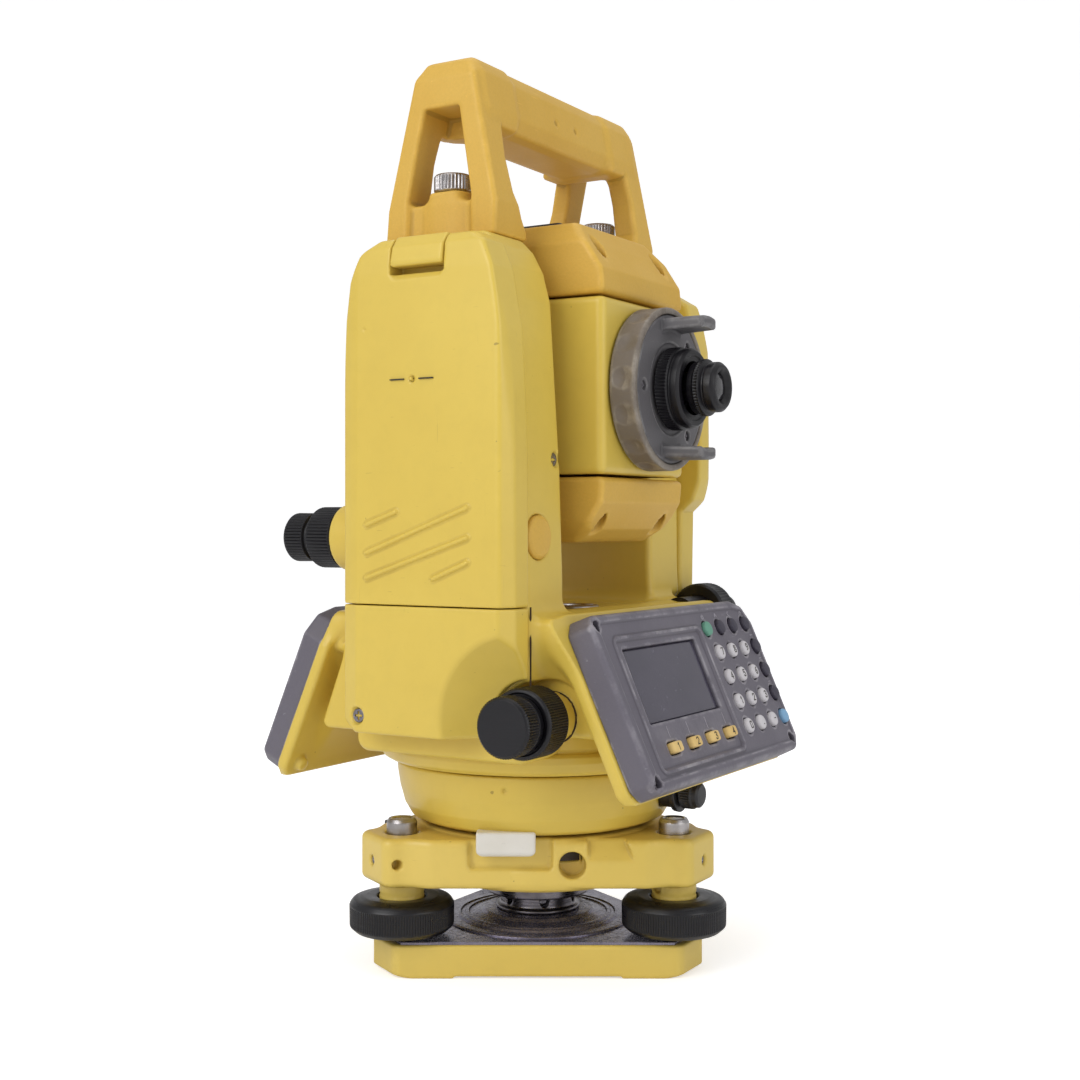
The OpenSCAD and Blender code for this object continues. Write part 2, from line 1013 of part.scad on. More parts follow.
// Shell of one telescope cover, z up from the body
module scope_cover(h) {
    difference() {
        intersection() {
            slab_x(-scope_w, scope_w)
                polygon([[scope_y0, 0], [scope_y1, 0], [scope_y1 - 1, 11], [scope_y1 - 7, 20],
                    [scope_y1 - 17, h], [scope_y0 + 16, h], [scope_y0 + 8, 20],
                    [scope_y0 + 1, 10]]);
            slab_y(-60, 60)
                polygon([[-scope_w, 0], [scope_w, 0], [scope_w, h - 8], [scope_w - 7, h],
                    [7 - scope_w, h], [-scope_w, h - 8]]);
        }
        block(-26, 26, -30, 32, -1, 14);
        for (x = [-24, 24])
            translate([x, scope_y0 + 12, 15])
                rotate([38, 0, 0])
                    cylinder(r = 2.6, h = 30);
    }
}

module telescope_top() {
    color(amber)
        translate([0, 0, tilt_z + scope_h])
            scope_cover(29);
}

module telescope_bottom() {
    color(amber)
        translate([0, 0, tilt_z - scope_h])
            mirror([0, 0, 1])
                scope_cover(25.5);
}

module tilt_axles() {
    color(steel) {
        rod_x(axle_r, -65, -22, 0, tilt_z);
        rod_x(axle_r, 22, 66, 0, tilt_z);
    }
}

module vertical_circle() {
    color(glass)
        difference() {
            rod_x(33, 63, 64.6, 0, tilt_z);
            rod_x(axle_r, 62, 66, 0, tilt_z);
        }
}

module objective_barrel() {
    color(black)
        translate([0, 0, tilt_z])
            difference() {
                union() {
                    rod_y(20, 38, scope_y1);
                    rod_y(objective_r, scope_y1, 68.5);
                    rod_y(objective_r - 1.2, 68.5, 70);
                }
                rod_y(15, 37, 71);
                rod_y(22, 56, 71);
            }
}

module objective_lens() {
    color(glass)
        translate([0, 0, tilt_z])
            rotate([-90, 0, 0])
                rotate_extrude()
                    polygon([[0, 56], [22, 56], [22, 57.5], [17.5, 59], [12, 60.2], [6, 61],
                        [0, 61.2]]);
}

module optical_sight() {
    color(black)
        translate([0, 0, tilt_z + scope_h + 29])
            difference() {
                block(-7, 7, -14, 10, 0, 4.6);
                rod_y(1.4, -15, 11, 0, 2.6);
            }
}

module telescope_grip() {
    color(grey)
        translate([0, 0, tilt_z]) {
            difference() {
                rod_y(28, -58.2, -55);
                rod_y(10, -60, -54);
                for (a = [180, 45, -45])
                    rotate([0, a, 0])
                        rod_y(1.8, -59, -57, 21, 0);
            }
            for (s = [-1, 1]) {
                slab_y(-74, -58.2)
                    translate([-8, 24.4 * s - 2.2])
                        square([16, 4.4]);
            }
        }
}

module focus_ring() {
    color(taupe)
        translate([0, 0, tilt_z])
            difference() {
                union() {
                    rod_y(focus_r, -57.8, -49.2);
                    rod_y(focus_r - 1, -58.7, -48);
                }
                rod_y(25 + play, -60, -47);
                rod_y(28 + play, -60, -54.9);
                for (k = [0:13])
                    rotate([0, 360 * k / 14, 0])
                        rod_y(6, -56.6, -50.6, focus_r + 4.9, 0);
            }
}

module focusing_lens() {
    color(glass)
        rod_y(13 - play, -6, 6, 0, tilt_z);
}

module eyepiece_mount() {
    color(black)
        difference() {
            translate([0, 0, tilt_z])
                rotate([90, 0, 0])
                    difference() {
                        union() {
                            rod_z(mount_ring_r - 1, 58.5, 68.2);
                            rod_z(mount_ring_r, 60, 67.2);
                        }
                        flutes(mount_ring_r, 0.6, 1.2, 59.5, 67.6, 24);
                    }
            rod_y(10 + play, -70, -58, 0, tilt_z);
        }
}

module eyepiece() {
    color(black)
        translate([0, 0, tilt_z])
            difference() {
                union() {
                    rod_y(6, -69, -50);
                    rod_y(eyepiece_r + 1.4, -73.4, -68.8);
                    rod_y(eyepiece_r, -79.7, -73.4);
                }
                rod_y(5.6, -80, -77.4);
            }
}

// Handle

// Outline of one handle frame in (Y, Z)
module frame_outline() {
    difference() {
        polygon([[-20, top_z], [28, top_z], [27, 282], [15, 330], [11.5, handle_top],
            [-7, handle_top], [-10.5, 330], [-20.5, 282]]);
        polygon([[-9.5, 285], [17, 285], [8.5, 317], [-3, 317]]);
    }
}

// One foot frame, x measured outwards from the grip side
module handle_frame() {
    intersection() {
        slab_x(-handle_near, -39)
            frame_outline();
        slab_y(-40, 40)
            polygon([[-handle_near, top_z], [-handle_near, handle_top], [-handle_near + frame_t, handle_top],
                [-handle_near + frame_t, 305], [-41, 276], [-41, top_z]]);
    }
}

module carrying_handle() {
    color(amber)
        difference() {
            union() {
                handle_frame();
                translate([handle_far - handle_near, 0, 0])
                    mirror([1, 0, 0])
                        handle_frame();
                slab_x(-handle_near + frame_t, handle_far - frame_t)
                    cut_rect(-9, 13, bar_low, handle_top, 4);
                rod_z(8.5, top_z, 287, near_screw[0], near_screw[1]);
                rod_z(8.5, top_z, 287, far_screw[0], far_screw[1]);
            }
            rod_z(3 + play, 260, 290, near_screw[0], near_screw[1]);
            rod_z(3 + play, 260, 290, far_screw[0], far_screw[1]);
        }
}

module thumb_screw(p) {
    translate([p[0], p[1], 0]) {
        difference() {
            union() {
                rod_z(7, 287.3, 293);
                rod_z(6.2, 293, 294);
            }
            flutes(7, 0.4, 0.8, 288, 292.6, 20);
            block(-8, 8, -0.8, 0.8, 292.6, 295);
        }
        rod_z(3, 256, 288);
    }
}

module handle_screw_near() {
    color(steel)
        thumb_screw(near_screw);
}

module handle_screw_far() {
    color(steel)
        thumb_screw(far_screw);
}

base_plate();
thread_post();
spring_plate();
foot_screw_left();
foot_screw_right();
foot_screw_back();
tribrach_body();
tribrach_fittings();
clamp_lever();
lower_base();
alignment_block();
base_studs();
horizontal_circle();
serial_connector();
serial_cap();
alidade_frame();
vertical_spindle();
lower_cover();
far_cover();
front_panel();
rear_panel();
front_display();
rear_display();
circuit_board();
tilt_bearings();
circular_level();
access_plug();
fixing_screws();
plummet_barrel();
plummet_focus_ring();
plummet_eyepiece();
horizontal_clamp();
horizontal_tangent();
vertical_clamp();
vertical_tangent();
battery_pack();
battery_latch();
power_key();
number_keys();
menu_keys();
enter_key();
function_keys();
rear_keys();
rear_function_keys();
telescope_body();
telescope_top();
telescope_bottom();
tilt_axles();
vertical_circle();
objective_barrel();
objective_lens();
optical_sight();
telescope_grip();
focus_ring();
focusing_lens();
eyepiece_mount();
eyepiece();
carrying_handle();
handle_screw_near();
handle_screw_far();
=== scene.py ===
"""Surveying total station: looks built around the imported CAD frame. Helpers work in millimetres."""

import math

import bmesh
import bpy
import numpy as np
from mathutils import Matrix, Vector
from mathutils.geometry import tessellate_polygon


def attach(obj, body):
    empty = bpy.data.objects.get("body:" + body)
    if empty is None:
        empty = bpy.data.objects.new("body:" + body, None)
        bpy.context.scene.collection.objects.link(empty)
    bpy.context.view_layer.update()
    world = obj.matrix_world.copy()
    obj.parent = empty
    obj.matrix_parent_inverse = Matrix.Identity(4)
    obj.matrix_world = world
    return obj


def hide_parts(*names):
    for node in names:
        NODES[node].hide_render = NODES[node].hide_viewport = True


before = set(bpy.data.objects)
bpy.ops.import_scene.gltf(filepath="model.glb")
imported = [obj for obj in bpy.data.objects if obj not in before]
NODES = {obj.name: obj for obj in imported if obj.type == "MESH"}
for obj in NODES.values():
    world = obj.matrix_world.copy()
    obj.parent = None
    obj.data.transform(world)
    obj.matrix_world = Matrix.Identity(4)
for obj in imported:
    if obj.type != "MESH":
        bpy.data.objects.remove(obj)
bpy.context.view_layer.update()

MM = 0.001

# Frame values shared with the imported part. HK, VK and PL are the axes of the horizontal knobs,
# the vertical knobs and the plummet; ROOM_AT is the middle of the scoop around the knobs.
TILT_Z = 217.5
BASE_TURN = 211.0
FOOT_R = 58.9
FOOT_DIRS = (BASE_TURN - 60, BASE_TURN + 60, BASE_TURN + 180)
SEAM_X = 70.0
BATT_X = 85.5
FLOOR_Z = 134.7
TOP_Z = 270.0
LEAN = math.radians(23.7)
SIN_L, COS_L = math.sin(LEAN), math.cos(LEAN)
SEAT_Y = 50.3
HK = (-40.2, 99.5)
ROOM_AT = (-41.5, 100.0)
VK = (-60.0, 162.0)
PL = (-37.8, 130.0)
SHAFT_R = 4.05


# ---------------------------------------------------------------- distance fields


def length(*parts):
    total = 0.0
    for p in parts:
        total = total + p * p
    return np.sqrt(total)


def pos(a):
    return np.maximum(a, 0.0)


def both(r, *fields):
    """Intersection with edges rounded to radius r."""
    m = fields[0]
    for f in fields[1:]:
        m = np.maximum(m, f)
    return np.minimum(m, -r) + length(*[pos(f + r) for f in fields])


def join(r, a, b):
    """Union with a fillet of radius r."""
    if r <= 0:
        return np.minimum(a, b)
    return np.maximum(np.minimum(a, b), r) - length(pos(r - a), pos(r - b))


def cut(r, a, b):
    """a minus b, rim rounded to radius r."""
    return both(r, a, -b)


def pocket(a, rim, r, *fields):
    """a minus the intersection of fields."""
    return cut(rim, a, both(r, *fields))


def slab(t, a, b):
    """Between two planes."""
    return np.abs(t - (a + b) / 2) - (b - a) / 2


def rect(u, v, u0, u1, v0, v1, r=0.0):
    qu = np.abs(u - (u0 + u1) / 2) - (u1 - u0) / 2 + r
    qv = np.abs(v - (v0 + v1) / 2) - (v1 - v0) / 2 + r
    return length(pos(qu), pos(qv)) + np.minimum(np.maximum(qu, qv), 0) - r


def ring(u, v, cu, cv):
    return length(u - cu, v - cv)


def inset(pts, r):
    """Moves every side of a counter-clockwise outline inwards by r."""
    pts = np.asarray(pts, float)
    out = []
    n = len(pts)
    for i in range(n):
        a, b, c = pts[i - 1], pts[i], pts[(i + 1) % n]
        d1, d2 = b - a, c - b
        n1 = np.array([-d1[1], d1[0]]) / np.hypot(*d1)
        n2 = np.array([-d2[1], d2[0]]) / np.hypot(*d2)
        k = 1.0 + float(n1 @ n2)
        out.append(b + (n1 + n2) * r / max(k, 0.2))
    return np.array(out)


def outline(u, v, pts, r=0.0):
    """Exact distance to a closed outline whose corners are rounded to r."""
    p = np.asarray(pts, float)
    area = np.sum(p[:, 0] * np.roll(p[:, 1], -1) - np.roll(p[:, 0], -1) * p[:, 1])
    if area < 0:
        p = p[::-1]
    if r:
        p = inset(p, r)
    d = None
    sign = None
    for i in range(len(p)):
        a, b = p[i], p[i - 1]
        e = b - a
        wu, wv = u - a[0], v - a[1]
        t = np.clip((wu * e[0] + wv * e[1]) / (e @ e), 0, 1)
        q = (wu - e[0] * t) ** 2 + (wv - e[1] * t) ** 2
        d = q if d is None else np.minimum(d, q)
        c1, c2 = v >= a[1], v < b[1]
        c3 = e[0] * wv > e[1] * wu
        flip = (c1 & c2 & c3) | (~c1 & ~c2 & ~c3)
        sign = flip if sign is None else sign ^ flip
    return np.where(sign, -1.0, 1.0) * np.sqrt(d) - r


def bar(x, y, z, a, b, r):
    """Capsule from a to b."""
    a, b = np.asarray(a, float), np.asarray(b, float)
    e = b - a
    t = np.clip(((x - a[0]) * e[0] + (y - a[1]) * e[1] + (z - a[2]) * e[2]) / (e @ e), 0, 1)
    return length(x - a[0] - e[0] * t, y - a[1] - e[1] * t, z - a[2] - e[2] * t) - r


def turn(u, v, deg):
    """The same point in axes turned by deg."""
    c, s = math.cos(math.radians(deg)), math.sin(math.radians(deg))
    return u * c + v * s, v * c - u * s


def polar(r, deg):
    a = math.radians(deg)
    return r * math.cos(a), r * math.sin(a)


FEET = [polar(FOOT_R, a) for a in FOOT_DIRS]
ARM_DIRS = (-60, 60, 180)


# ---------------------------------------------------------------- meshing


def gradient(f, p, e):
    g = np.empty_like(p)
    for k in range(3):
        q = p.copy()
        q[:, k] += e
        hi = f(q[:, 0], q[:, 1], q[:, 2])
        q[:, k] -= 2 * e
        g[:, k] = (hi - f(q[:, 0], q[:, 1], q[:, 2])) / (2 * e)
    return g


def surface_net(f, lo, hi, h):
    """Quads and vertices of the zero level of f, pulled onto the surface."""
    lo = np.asarray(lo, float) - 1.5 * h
    hi = np.asarray(hi, float) + 1.5 * h
    n = np.ceil((hi - lo) / h).astype(int) + 1
    ax = [lo[k] + h * np.arange(n[k]) for k in range(3)]
    s = np.empty(n, np.float32)
    step = max(1, int(2.5e6 / (n[0] * n[1])))
    for k in range(0, n[2], step):
        z = ax[2][k : k + step]
        s[:, :, k : k + step] = f(ax[0][:, None, None], ax[1][None, :, None], z[None, None, :])
    inside = s < 0
    c = inside[:-1, :-1, :-1].astype(np.int8)
    for o in ((1, 0, 0), (0, 1, 0), (0, 0, 1), (1, 1, 0), (1, 0, 1), (0, 1, 1), (1, 1, 1)):
        c = c + inside[o[0] : n[0] - 1 + o[0], o[1] : n[1] - 1 + o[1], o[2] : n[2] - 1 + o[2]]
    act = np.argwhere((c > 0) & (c < 8))
    index = np.full(c.shape, -1, np.int32)
    index[act[:, 0], act[:, 1], act[:, 2]] = np.arange(len(act))
    total = np.zeros((len(act), 3))
    count = np.zeros(len(act))
    corner = [np.array(((i >> 2) & 1, (i >> 1) & 1, i & 1)) for i in range(8)]
    val = [s[act[:, 0] + o[0], act[:, 1] + o[1], act[:, 2] + o[2]] for o in corner]
    for i in range(8):
        for bit in (1, 2, 4):
            j = i | bit
            if j == i:
                continue
            cross = (val[i] < 0) != (val[j] < 0)
            t = np.where(cross, val[i] / np.where(cross, val[i] - val[j], 1), 0)
            total += cross[:, None] * (corner[i] + t[:, None] * (corner[j] - corner[i]))
            count += cross
    verts = lo + h * (act + total / count[:, None])
    quads = []
    for k in range(3):
        u, v = (k + 1) % 3, (k + 2) % 3
        first = [slice(None)] * 3
        last = [slice(None)] * 3
        first[k], last[k] = slice(0, n[k] - 1), slice(1, n[k])
        for w in (u, v):
            first[w] = last[w] = slice(1, n[w] - 1)
        a, b = inside[tuple(first)], inside[tuple(last)]
        e = np.argwhere(a != b)
        out = a[e[:, 0], e[:, 1], e[:, 2]]
        e[:, u] += 1
        e[:, v] += 1
        cells = []
        for du, dv in ((0, 0), (1, 0), (1, 1), (0, 1)):
            q = e.copy()
            q[:, u] -= du
            q[:, v] -= dv
            cells.append(index[q[:, 0], q[:, 1], q[:, 2]])
        quad = np.stack(cells, 1)
        quad[~out] = quad[~out][:, ::-1]
        quads.append(quad)
    faces = np.concatenate(quads)
    for _ in range(4):
        d = f(verts[:, 0], verts[:, 1], verts[:, 2])
        g = gradient(f, verts, 0.02)
        g2 = np.maximum((g * g).sum(1), 0.25)
        verts = verts - np.clip(d / g2, -0.5 * h, 0.5 * h)[:, None] * g
    return verts, faces


def new_object(name, verts, faces, body, mat, smooth=True):
    """verts in millimetres; faces as an array of quads or a list of loops."""
    me = bpy.data.meshes.new(name)
    verts = np.asarray(verts, float) * MM
    if isinstance(faces, np.ndarray):
        me.vertices.add(len(verts))
        me.vertices.foreach_set("co", verts.ravel())
        me.loops.add(faces.size)
        me.loops.foreach_set("vertex_index", faces.ravel().astype(np.int32))
        me.polygons.add(len(faces))
        me.polygons.foreach_set("loop_start", np.arange(0, faces.size, faces.shape[1], dtype=np.int32))
        me.update(calc_edges=True)
    else:
        me.from_pydata([tuple(v) for v in verts], [], faces)
    me.validate()
    me.polygons.foreach_set("use_smooth", [smooth] * len(me.polygons))
    ob = bpy.data.objects.new(name, me)
    bpy.context.scene.collection.objects.link(ob)
    me.materials.append(mat)
    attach(ob, body)
    return ob


def dress(ob, nodes):
    """Hides the CAD nodes that a piece stands for."""
    if nodes:
        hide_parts(*nodes)
    return ob


def moulded(name, f, lo, hi, h, body, mat, nodes=(), place=None, reach=1.4):
    """A cast or moulded piece from a distance field, with an edge mask for its wear and a hollow mask for
    dust and painted shade.
    """
    verts, faces = surface_net(f, lo, hi, h)
    lap = -6 * f(verts[:, 0], verts[:, 1], verts[:, 2])
    for k in range(3):
        for s in (-1, 1):
            q = verts.copy()
            q[:, k] += s * reach
            lap = lap + f(q[:, 0], q[:, 1], q[:, 2])
    bend = lap / reach
    if place is not None:
        verts = place(verts)
    ob = new_object(name, verts, faces, body, mat)
    for key, vals in (("edge", np.clip(bend, 0, 1)), ("hollow", np.clip(-bend, 0, 1))):
        at = ob.data.attributes.new(key, "FLOAT", "POINT")
        at.data.foreach_set("value", vals.astype(np.float32))
    return dress(ob, nodes)


def rounded(profile, steps=4):
    """Rounds the corners of an (r, z) profile: entries are (r, z) or (r, z, radius)."""
    pts = [np.array(p[:2], float) for p in profile]
    rad = [p[2] if len(p) > 2 else 0.0 for p in profile]
    out = []
    n = len(pts)
    for i in range(n):
        r = rad[i]
        if r <= 0 or i in (0, n - 1):
            out.append(pts[i])
            continue
        a, b, c = pts[i - 1], pts[i], pts[i + 1]
        u, v = a - b, c - b
        lu, lv = np.hypot(*u), np.hypot(*v)
        u, v = u / lu, v / lv
        half = math.acos(max(-1, min(1, float(u @ v)))) / 2
        t = min(r / math.tan(half), 0.49 * lu, 0.49 * lv)
        p0, p2 = b + u * t, b + v * t
        for k in range(steps + 1):
            w = k / steps
            out.append((1 - w) ** 2 * p0 + 2 * w * (1 - w) * b + w * w * p2)
    return out


AXES = {
    "x": Matrix(((0, 0, 1), (1, 0, 0), (0, 1, 0))),
    "-x": Matrix(((0, 0, -1), (-1, 0, 0), (0, 1, 0))),
    "y": Matrix(((1, 0, 0), (0, 0, 1), (0, -1, 0))),
    "-y": Matrix(((1, 0, 0), (0, 0, -1), (0, 1, 0))),
    "z": Matrix(((1, 0, 0), (0, 1, 0), (0, 0, 1))),
}


def lathe(profile, axis="z", at=(0, 0, 0), seg=96, knurl=None, steps=4):
    """Turned form. profile runs from the axis or a bore around the outside.

    knurl is (z0, z1, count, depth)."""
    pts = rounded(profile, steps)
    if knurl:
        z0, z1, count, depth = knurl
        seg = count * 6
        dense = []
        for a, b in zip(pts, pts[1:]):
            dense.append(a)
            if np.hypot(*(b - a)) > 0.9:
                for z in (z0, z0 + 0.35, z1 - 0.35, z1):
                    if min(a[1], b[1]) < z < max(a[1], b[1]):
                        t = (z - a[1]) / (b[1] - a[1])
                        dense.append(a + t * (b - a))
        pts = dense + [pts[-1]]
    ang = np.arange(seg) * 2 * math.pi / seg
    rows = []
    top = max(p[0] for p in pts)
    for p in pts:
        r = np.full(seg, p[0])
        if knurl and z0 < p[1] < z1 and p[0] > top - depth * 3:
            fade = min(1.0, (p[1] - z0) / 0.35, (z1 - p[1]) / 0.35)
            wave = 0.5 - 0.5 * np.cos(ang * count)
            r = r - depth * fade * (1 - wave ** 0.6)
        rows.append(np.stack([r * np.cos(ang), r * np.sin(ang), np.full(seg, p[1])], 1))
    verts = np.concatenate(rows)
    faces = []
    for i in range(len(rows) - 1):
        for j in range(seg):
            k = (j + 1) % seg
            faces.append((i * seg + j, i * seg + k, (i + 1) * seg + k, (i + 1) * seg + j))
    closed = np.hypot(*(pts[0] - pts[-1])) < 1e-6
    if not closed:
        if pts[0][0] > 1e-6:
            faces.append(tuple(range(seg))[::-1])
        if pts[-1][0] > 1e-6:
            faces.append(tuple((len(rows) - 1) * seg + j for j in range(seg)))
    m = np.array(AXES[axis])
    verts = verts @ m.T + np.asarray(at, float)
    return verts, faces


def turned(name, profile, body, mat, nodes=(), slot=None, **kw):
    verts, faces = lathe(profile, **kw)
    ob = new_object(name, verts, faces, body, mat)
    bm = bmesh.new()
    bm.from_mesh(ob.data)
    bmesh.ops.remove_doubles(bm, verts=bm.verts, dist=1e-6)
    bmesh.ops.dissolve_degenerate(bm, dist=1e-7, edges=bm.edges)
    bmesh.ops.recalc_face_normals(bm, faces=bm.faces)
    for e in bm.edges:
        if len(e.link_faces) == 2 and e.calc_face_angle(0) > math.radians(38):
            e.smooth = False
    for f in bm.faces:
        f.smooth = True
    bm.to_mesh(ob.data)
    bm.free()
    return dress(ob, nodes)


# ---------------------------------------------------------------- materials


class Net:
    """Small helper around one material's node tree."""

    def __init__(self, name):
        self.mat = bpy.data.materials.new(name)
        self.mat.use_nodes = True
        self.nt = self.mat.node_tree
        self.bsdf = self.nt.nodes["Principled BSDF"]
        self.coord = self.nt.nodes.new("ShaderNodeTexCoord").outputs["Object"]

    def node(self, kind, **inputs):
        n = self.nt.nodes.new(kind)
        for k, v in inputs.items():
            self.put(n.inputs[k.replace("_", " ")], v)
        return n

    def put(self, socket, v):
        if isinstance(v, bpy.types.NodeSocket):
            self.nt.links.new(v, socket)
        elif isinstance(v, (tuple, list)) and len(v) == 3 and socket.type == "RGBA":
            socket.default_value = (*v, 1)
        else:
            socket.default_value = v

    def noise(self, scale, detail=3.0, rough=0.5, stretch=None, offset=0.0):
        src = self.coord
        if stretch or offset:
            m = self.nt.nodes.new("ShaderNodeMapping")
            self.nt.links.new(src, m.inputs["Vector"])
            m.inputs["Scale"].default_value = stretch or (1, 1, 1)
            m.inputs["Location"].default_value = (offset, offset * 0.7, -offset)
            src = m.outputs["Vector"]
        n = self.nt.nodes.new("ShaderNodeTexNoise")
        self.nt.links.new(src, n.inputs["Vector"])
        n.inputs["Scale"].default_value = scale
        n.inputs["Detail"].default_value = detail
        n.inputs["Roughness"].default_value = rough
        return n.outputs["Fac"]

    def ramp(self, fac, lo, hi, a=0.0, b=1.0):
        n = self.nt.nodes.new("ShaderNodeMapRange")
        n.interpolation_type = "SMOOTHSTEP"
        self.put(n.inputs["Value"], fac)
        n.inputs["From Min"].default_value = lo
        n.inputs["From Max"].default_value = hi
        n.inputs["To Min"].default_value = a
        n.inputs["To Max"].default_value = b
        return n.outputs["Result"]

    def math(self, op, a, b=0.0):
        n = self.nt.nodes.new("ShaderNodeMath")
        n.operation = op
        self.put(n.inputs[0], a)
        self.put(n.inputs[1], b)
        return n.outputs[0]

    def mul(self, a, b):
        return self.math("MULTIPLY", a, b)

    def mix(self, fac, a, b):
        n = self.nt.nodes.new("ShaderNodeMix")
        n.data_type = "RGBA"
        self.put(n.inputs["Factor"], fac)
        self.put(n.inputs[6], a if isinstance(a, bpy.types.NodeSocket) else (*a, 1))
        self.put(n.inputs[7], b if isinstance(b, bpy.types.NodeSocket) else (*b, 1))
        return n.outputs[2]

    def attr(self, name):
        n = self.nt.nodes.new("ShaderNodeAttribute")
        n.attribute_name = name
        return n.outputs["Fac"]

    def bump(self, height, strength, distance, normal=None):
        n = self.nt.nodes.new("ShaderNodeBump")
        n.inputs["Strength"].default_value = strength
        n.inputs["Distance"].default_value = distance
        self.put(n.inputs["Height"], height)
        if normal is not None:
            self.put(n.inputs["Normal"], normal)
        return n.outputs["Normal"]

    def set(self, **kw):
        for k, v in kw.items():
            self.put(self.bsdf.inputs[k.replace("_", " ")], v)


def srgb(r, g, b):
    """Display colour 0..255 to linear."""
    out = []
    for c in (r, g, b):
        c = c / 255
        out.append(c / 12.92 if c <= 0.04045 else ((c + 0.055) / 1.055) ** 2.4)
    return tuple(out)


def painted(name, base, shade, wear=0.5, rough=0.36, seed=0.0):
    """Semi-gloss paint on a casting: orange peel, rubbed edges, fine scratches, dust and painted shade in
    hollows.
    """
    n = Net(name)
    broad = n.noise(14, 4, 0.55, offset=seed)
    fine = n.noise(160, 3, 0.6, offset=seed + 3)
    colour = n.mix(n.ramp(broad, 0.3, 0.72, 0.0, 0.55), base, shade)
    colour = n.mix(n.ramp(fine, 0.42, 0.7, 0.0, 0.12), colour, tuple(c * 0.8 for c in base))
    hollow = n.attr("hollow")
    # hollows darkened towards brown, patchy by noise: partly dust, partly painted shade
    dust_and_shade = n.mul(n.ramp(hollow, 0.3, 0.95), n.ramp(n.noise(90, 4, 0.6), 0.3, 0.75, 0.35, 1))
    colour = n.mix(n.mul(dust_and_shade, 0.26), colour, srgb(128, 96, 36))
    edge = n.attr("edge")
    rub = n.mul(n.ramp(edge, 0.25, 0.8), n.ramp(n.noise(55, 5, 0.65, offset=seed + 7), 0.55, 0.72))
    colour = n.mix(n.mul(rub, 0.35 * wear), colour, tuple(min(1, c * 1.25 + 0.02) for c in base))
    chip = n.mul(n.ramp(edge, 0.35, 0.75), n.ramp(n.noise(210, 5, 0.7, offset=seed + 11), 0.7, 0.74))
    chip = n.mul(chip, n.ramp(n.noise(22, 2, offset=seed + 5), 0.5, 0.62))
    colour = n.mix(n.mul(chip, wear), colour, srgb(84, 70, 52))
    scratch = n.ramp(n.noise(9, 2, 0.4, stretch=(1.5, 22, 160), offset=seed + 2), 0.735, 0.75)
    scratch2 = n.ramp(n.noise(11, 2, 0.4, stretch=(90, 130, 3), offset=seed + 9), 0.745, 0.76)
    marks = n.mul(n.math("MAXIMUM", scratch, scratch2), n.ramp(n.noise(18, 2, offset=seed), 0.5, 0.66))
    colour = n.mix(n.mul(marks, 0.3), colour, srgb(150, 118, 50))
    specks = n.ramp(n.noise(420, 1, 0.3, offset=seed + 13), 0.805, 0.83)
    colour = n.mix(n.mul(specks, 0.5), colour, srgb(96, 74, 34))
    r = n.math("ADD", n.ramp(broad, 0.3, 0.7, rough - 0.05, rough + 0.06), n.mul(dust_and_shade, 0.25))
    peel = n.noise(900, 2, 0.5, offset=seed)
    nrm = n.bump(peel, 0.10, 0.00012)
    nrm = n.bump(n.math("SUBTRACT", 1.0, n.math("MAXIMUM", marks, chip)), 0.25, 0.00008, nrm)
    n.set(Base_Color=colour, Roughness=r, Normal=nrm, Metallic=0.0)
    n.set(Coat_Weight=0.12, Coat_Roughness=0.25, Specular_IOR_Level=0.42)
    return n.mat


def grained(name, base, shade, grain=1100.0, depth=0.00010, rough=0.52, wear=0.6, worn=None, seed=0.0):
    """Moulded plastic with a fine spark-eroded grain."""
    n = Net(name)
    broad = n.noise(16, 4, 0.6, offset=seed)
    colour = n.mix(n.ramp(broad, 0.3, 0.72, 0, 0.6), base, shade)
    tiny = n.noise(grain, 2, 0.6)
    colour = n.mix(n.ramp(tiny, 0.35, 0.7, 0, 0.16), colour, tuple(c * 0.72 for c in base))
    # hollows darkened towards a darker copy of the shade colour: partly dust, partly painted shade
    dust_and_shade = n.ramp(n.attr("hollow"), 0.1, 0.7, 0, 0.45)
    colour = n.mix(dust_and_shade, colour, tuple(c * 0.45 for c in shade))
    worn = worn or tuple(min(1, c * 1.35 + 0.03) for c in base)
    rub = n.mul(n.ramp(n.attr("edge"), 0.2, 0.75), n.ramp(n.noise(70, 5, 0.7, offset=seed + 4), 0.38, 0.66))
    colour = n.mix(n.mul(rub, wear), colour, worn)
    scuff = n.ramp(n.noise(12, 3, 0.5, stretch=(6, 30, 60), offset=seed + 1), 0.7, 0.76)
    colour = n.mix(n.mul(scuff, 0.25), colour, worn)
    r = n.math("SUBTRACT", n.ramp(broad, 0.3, 0.7, rough - 0.05, rough + 0.07), n.mul(rub, 0.14))
    cells = n.node("ShaderNodeTexVoronoi", Scale=grain * 0.8)
    n.nt.links.new(n.coord, cells.inputs["Vector"])
    height = n.math("ADD", n.mul(cells.outputs["Distance"], 0.6), tiny)
    n.set(Base_Color=colour, Roughness=r, Normal=n.bump(height, 0.45, depth), Metallic=0.0)
    n.set(Specular_IOR_Level=0.4)
    return n.mat


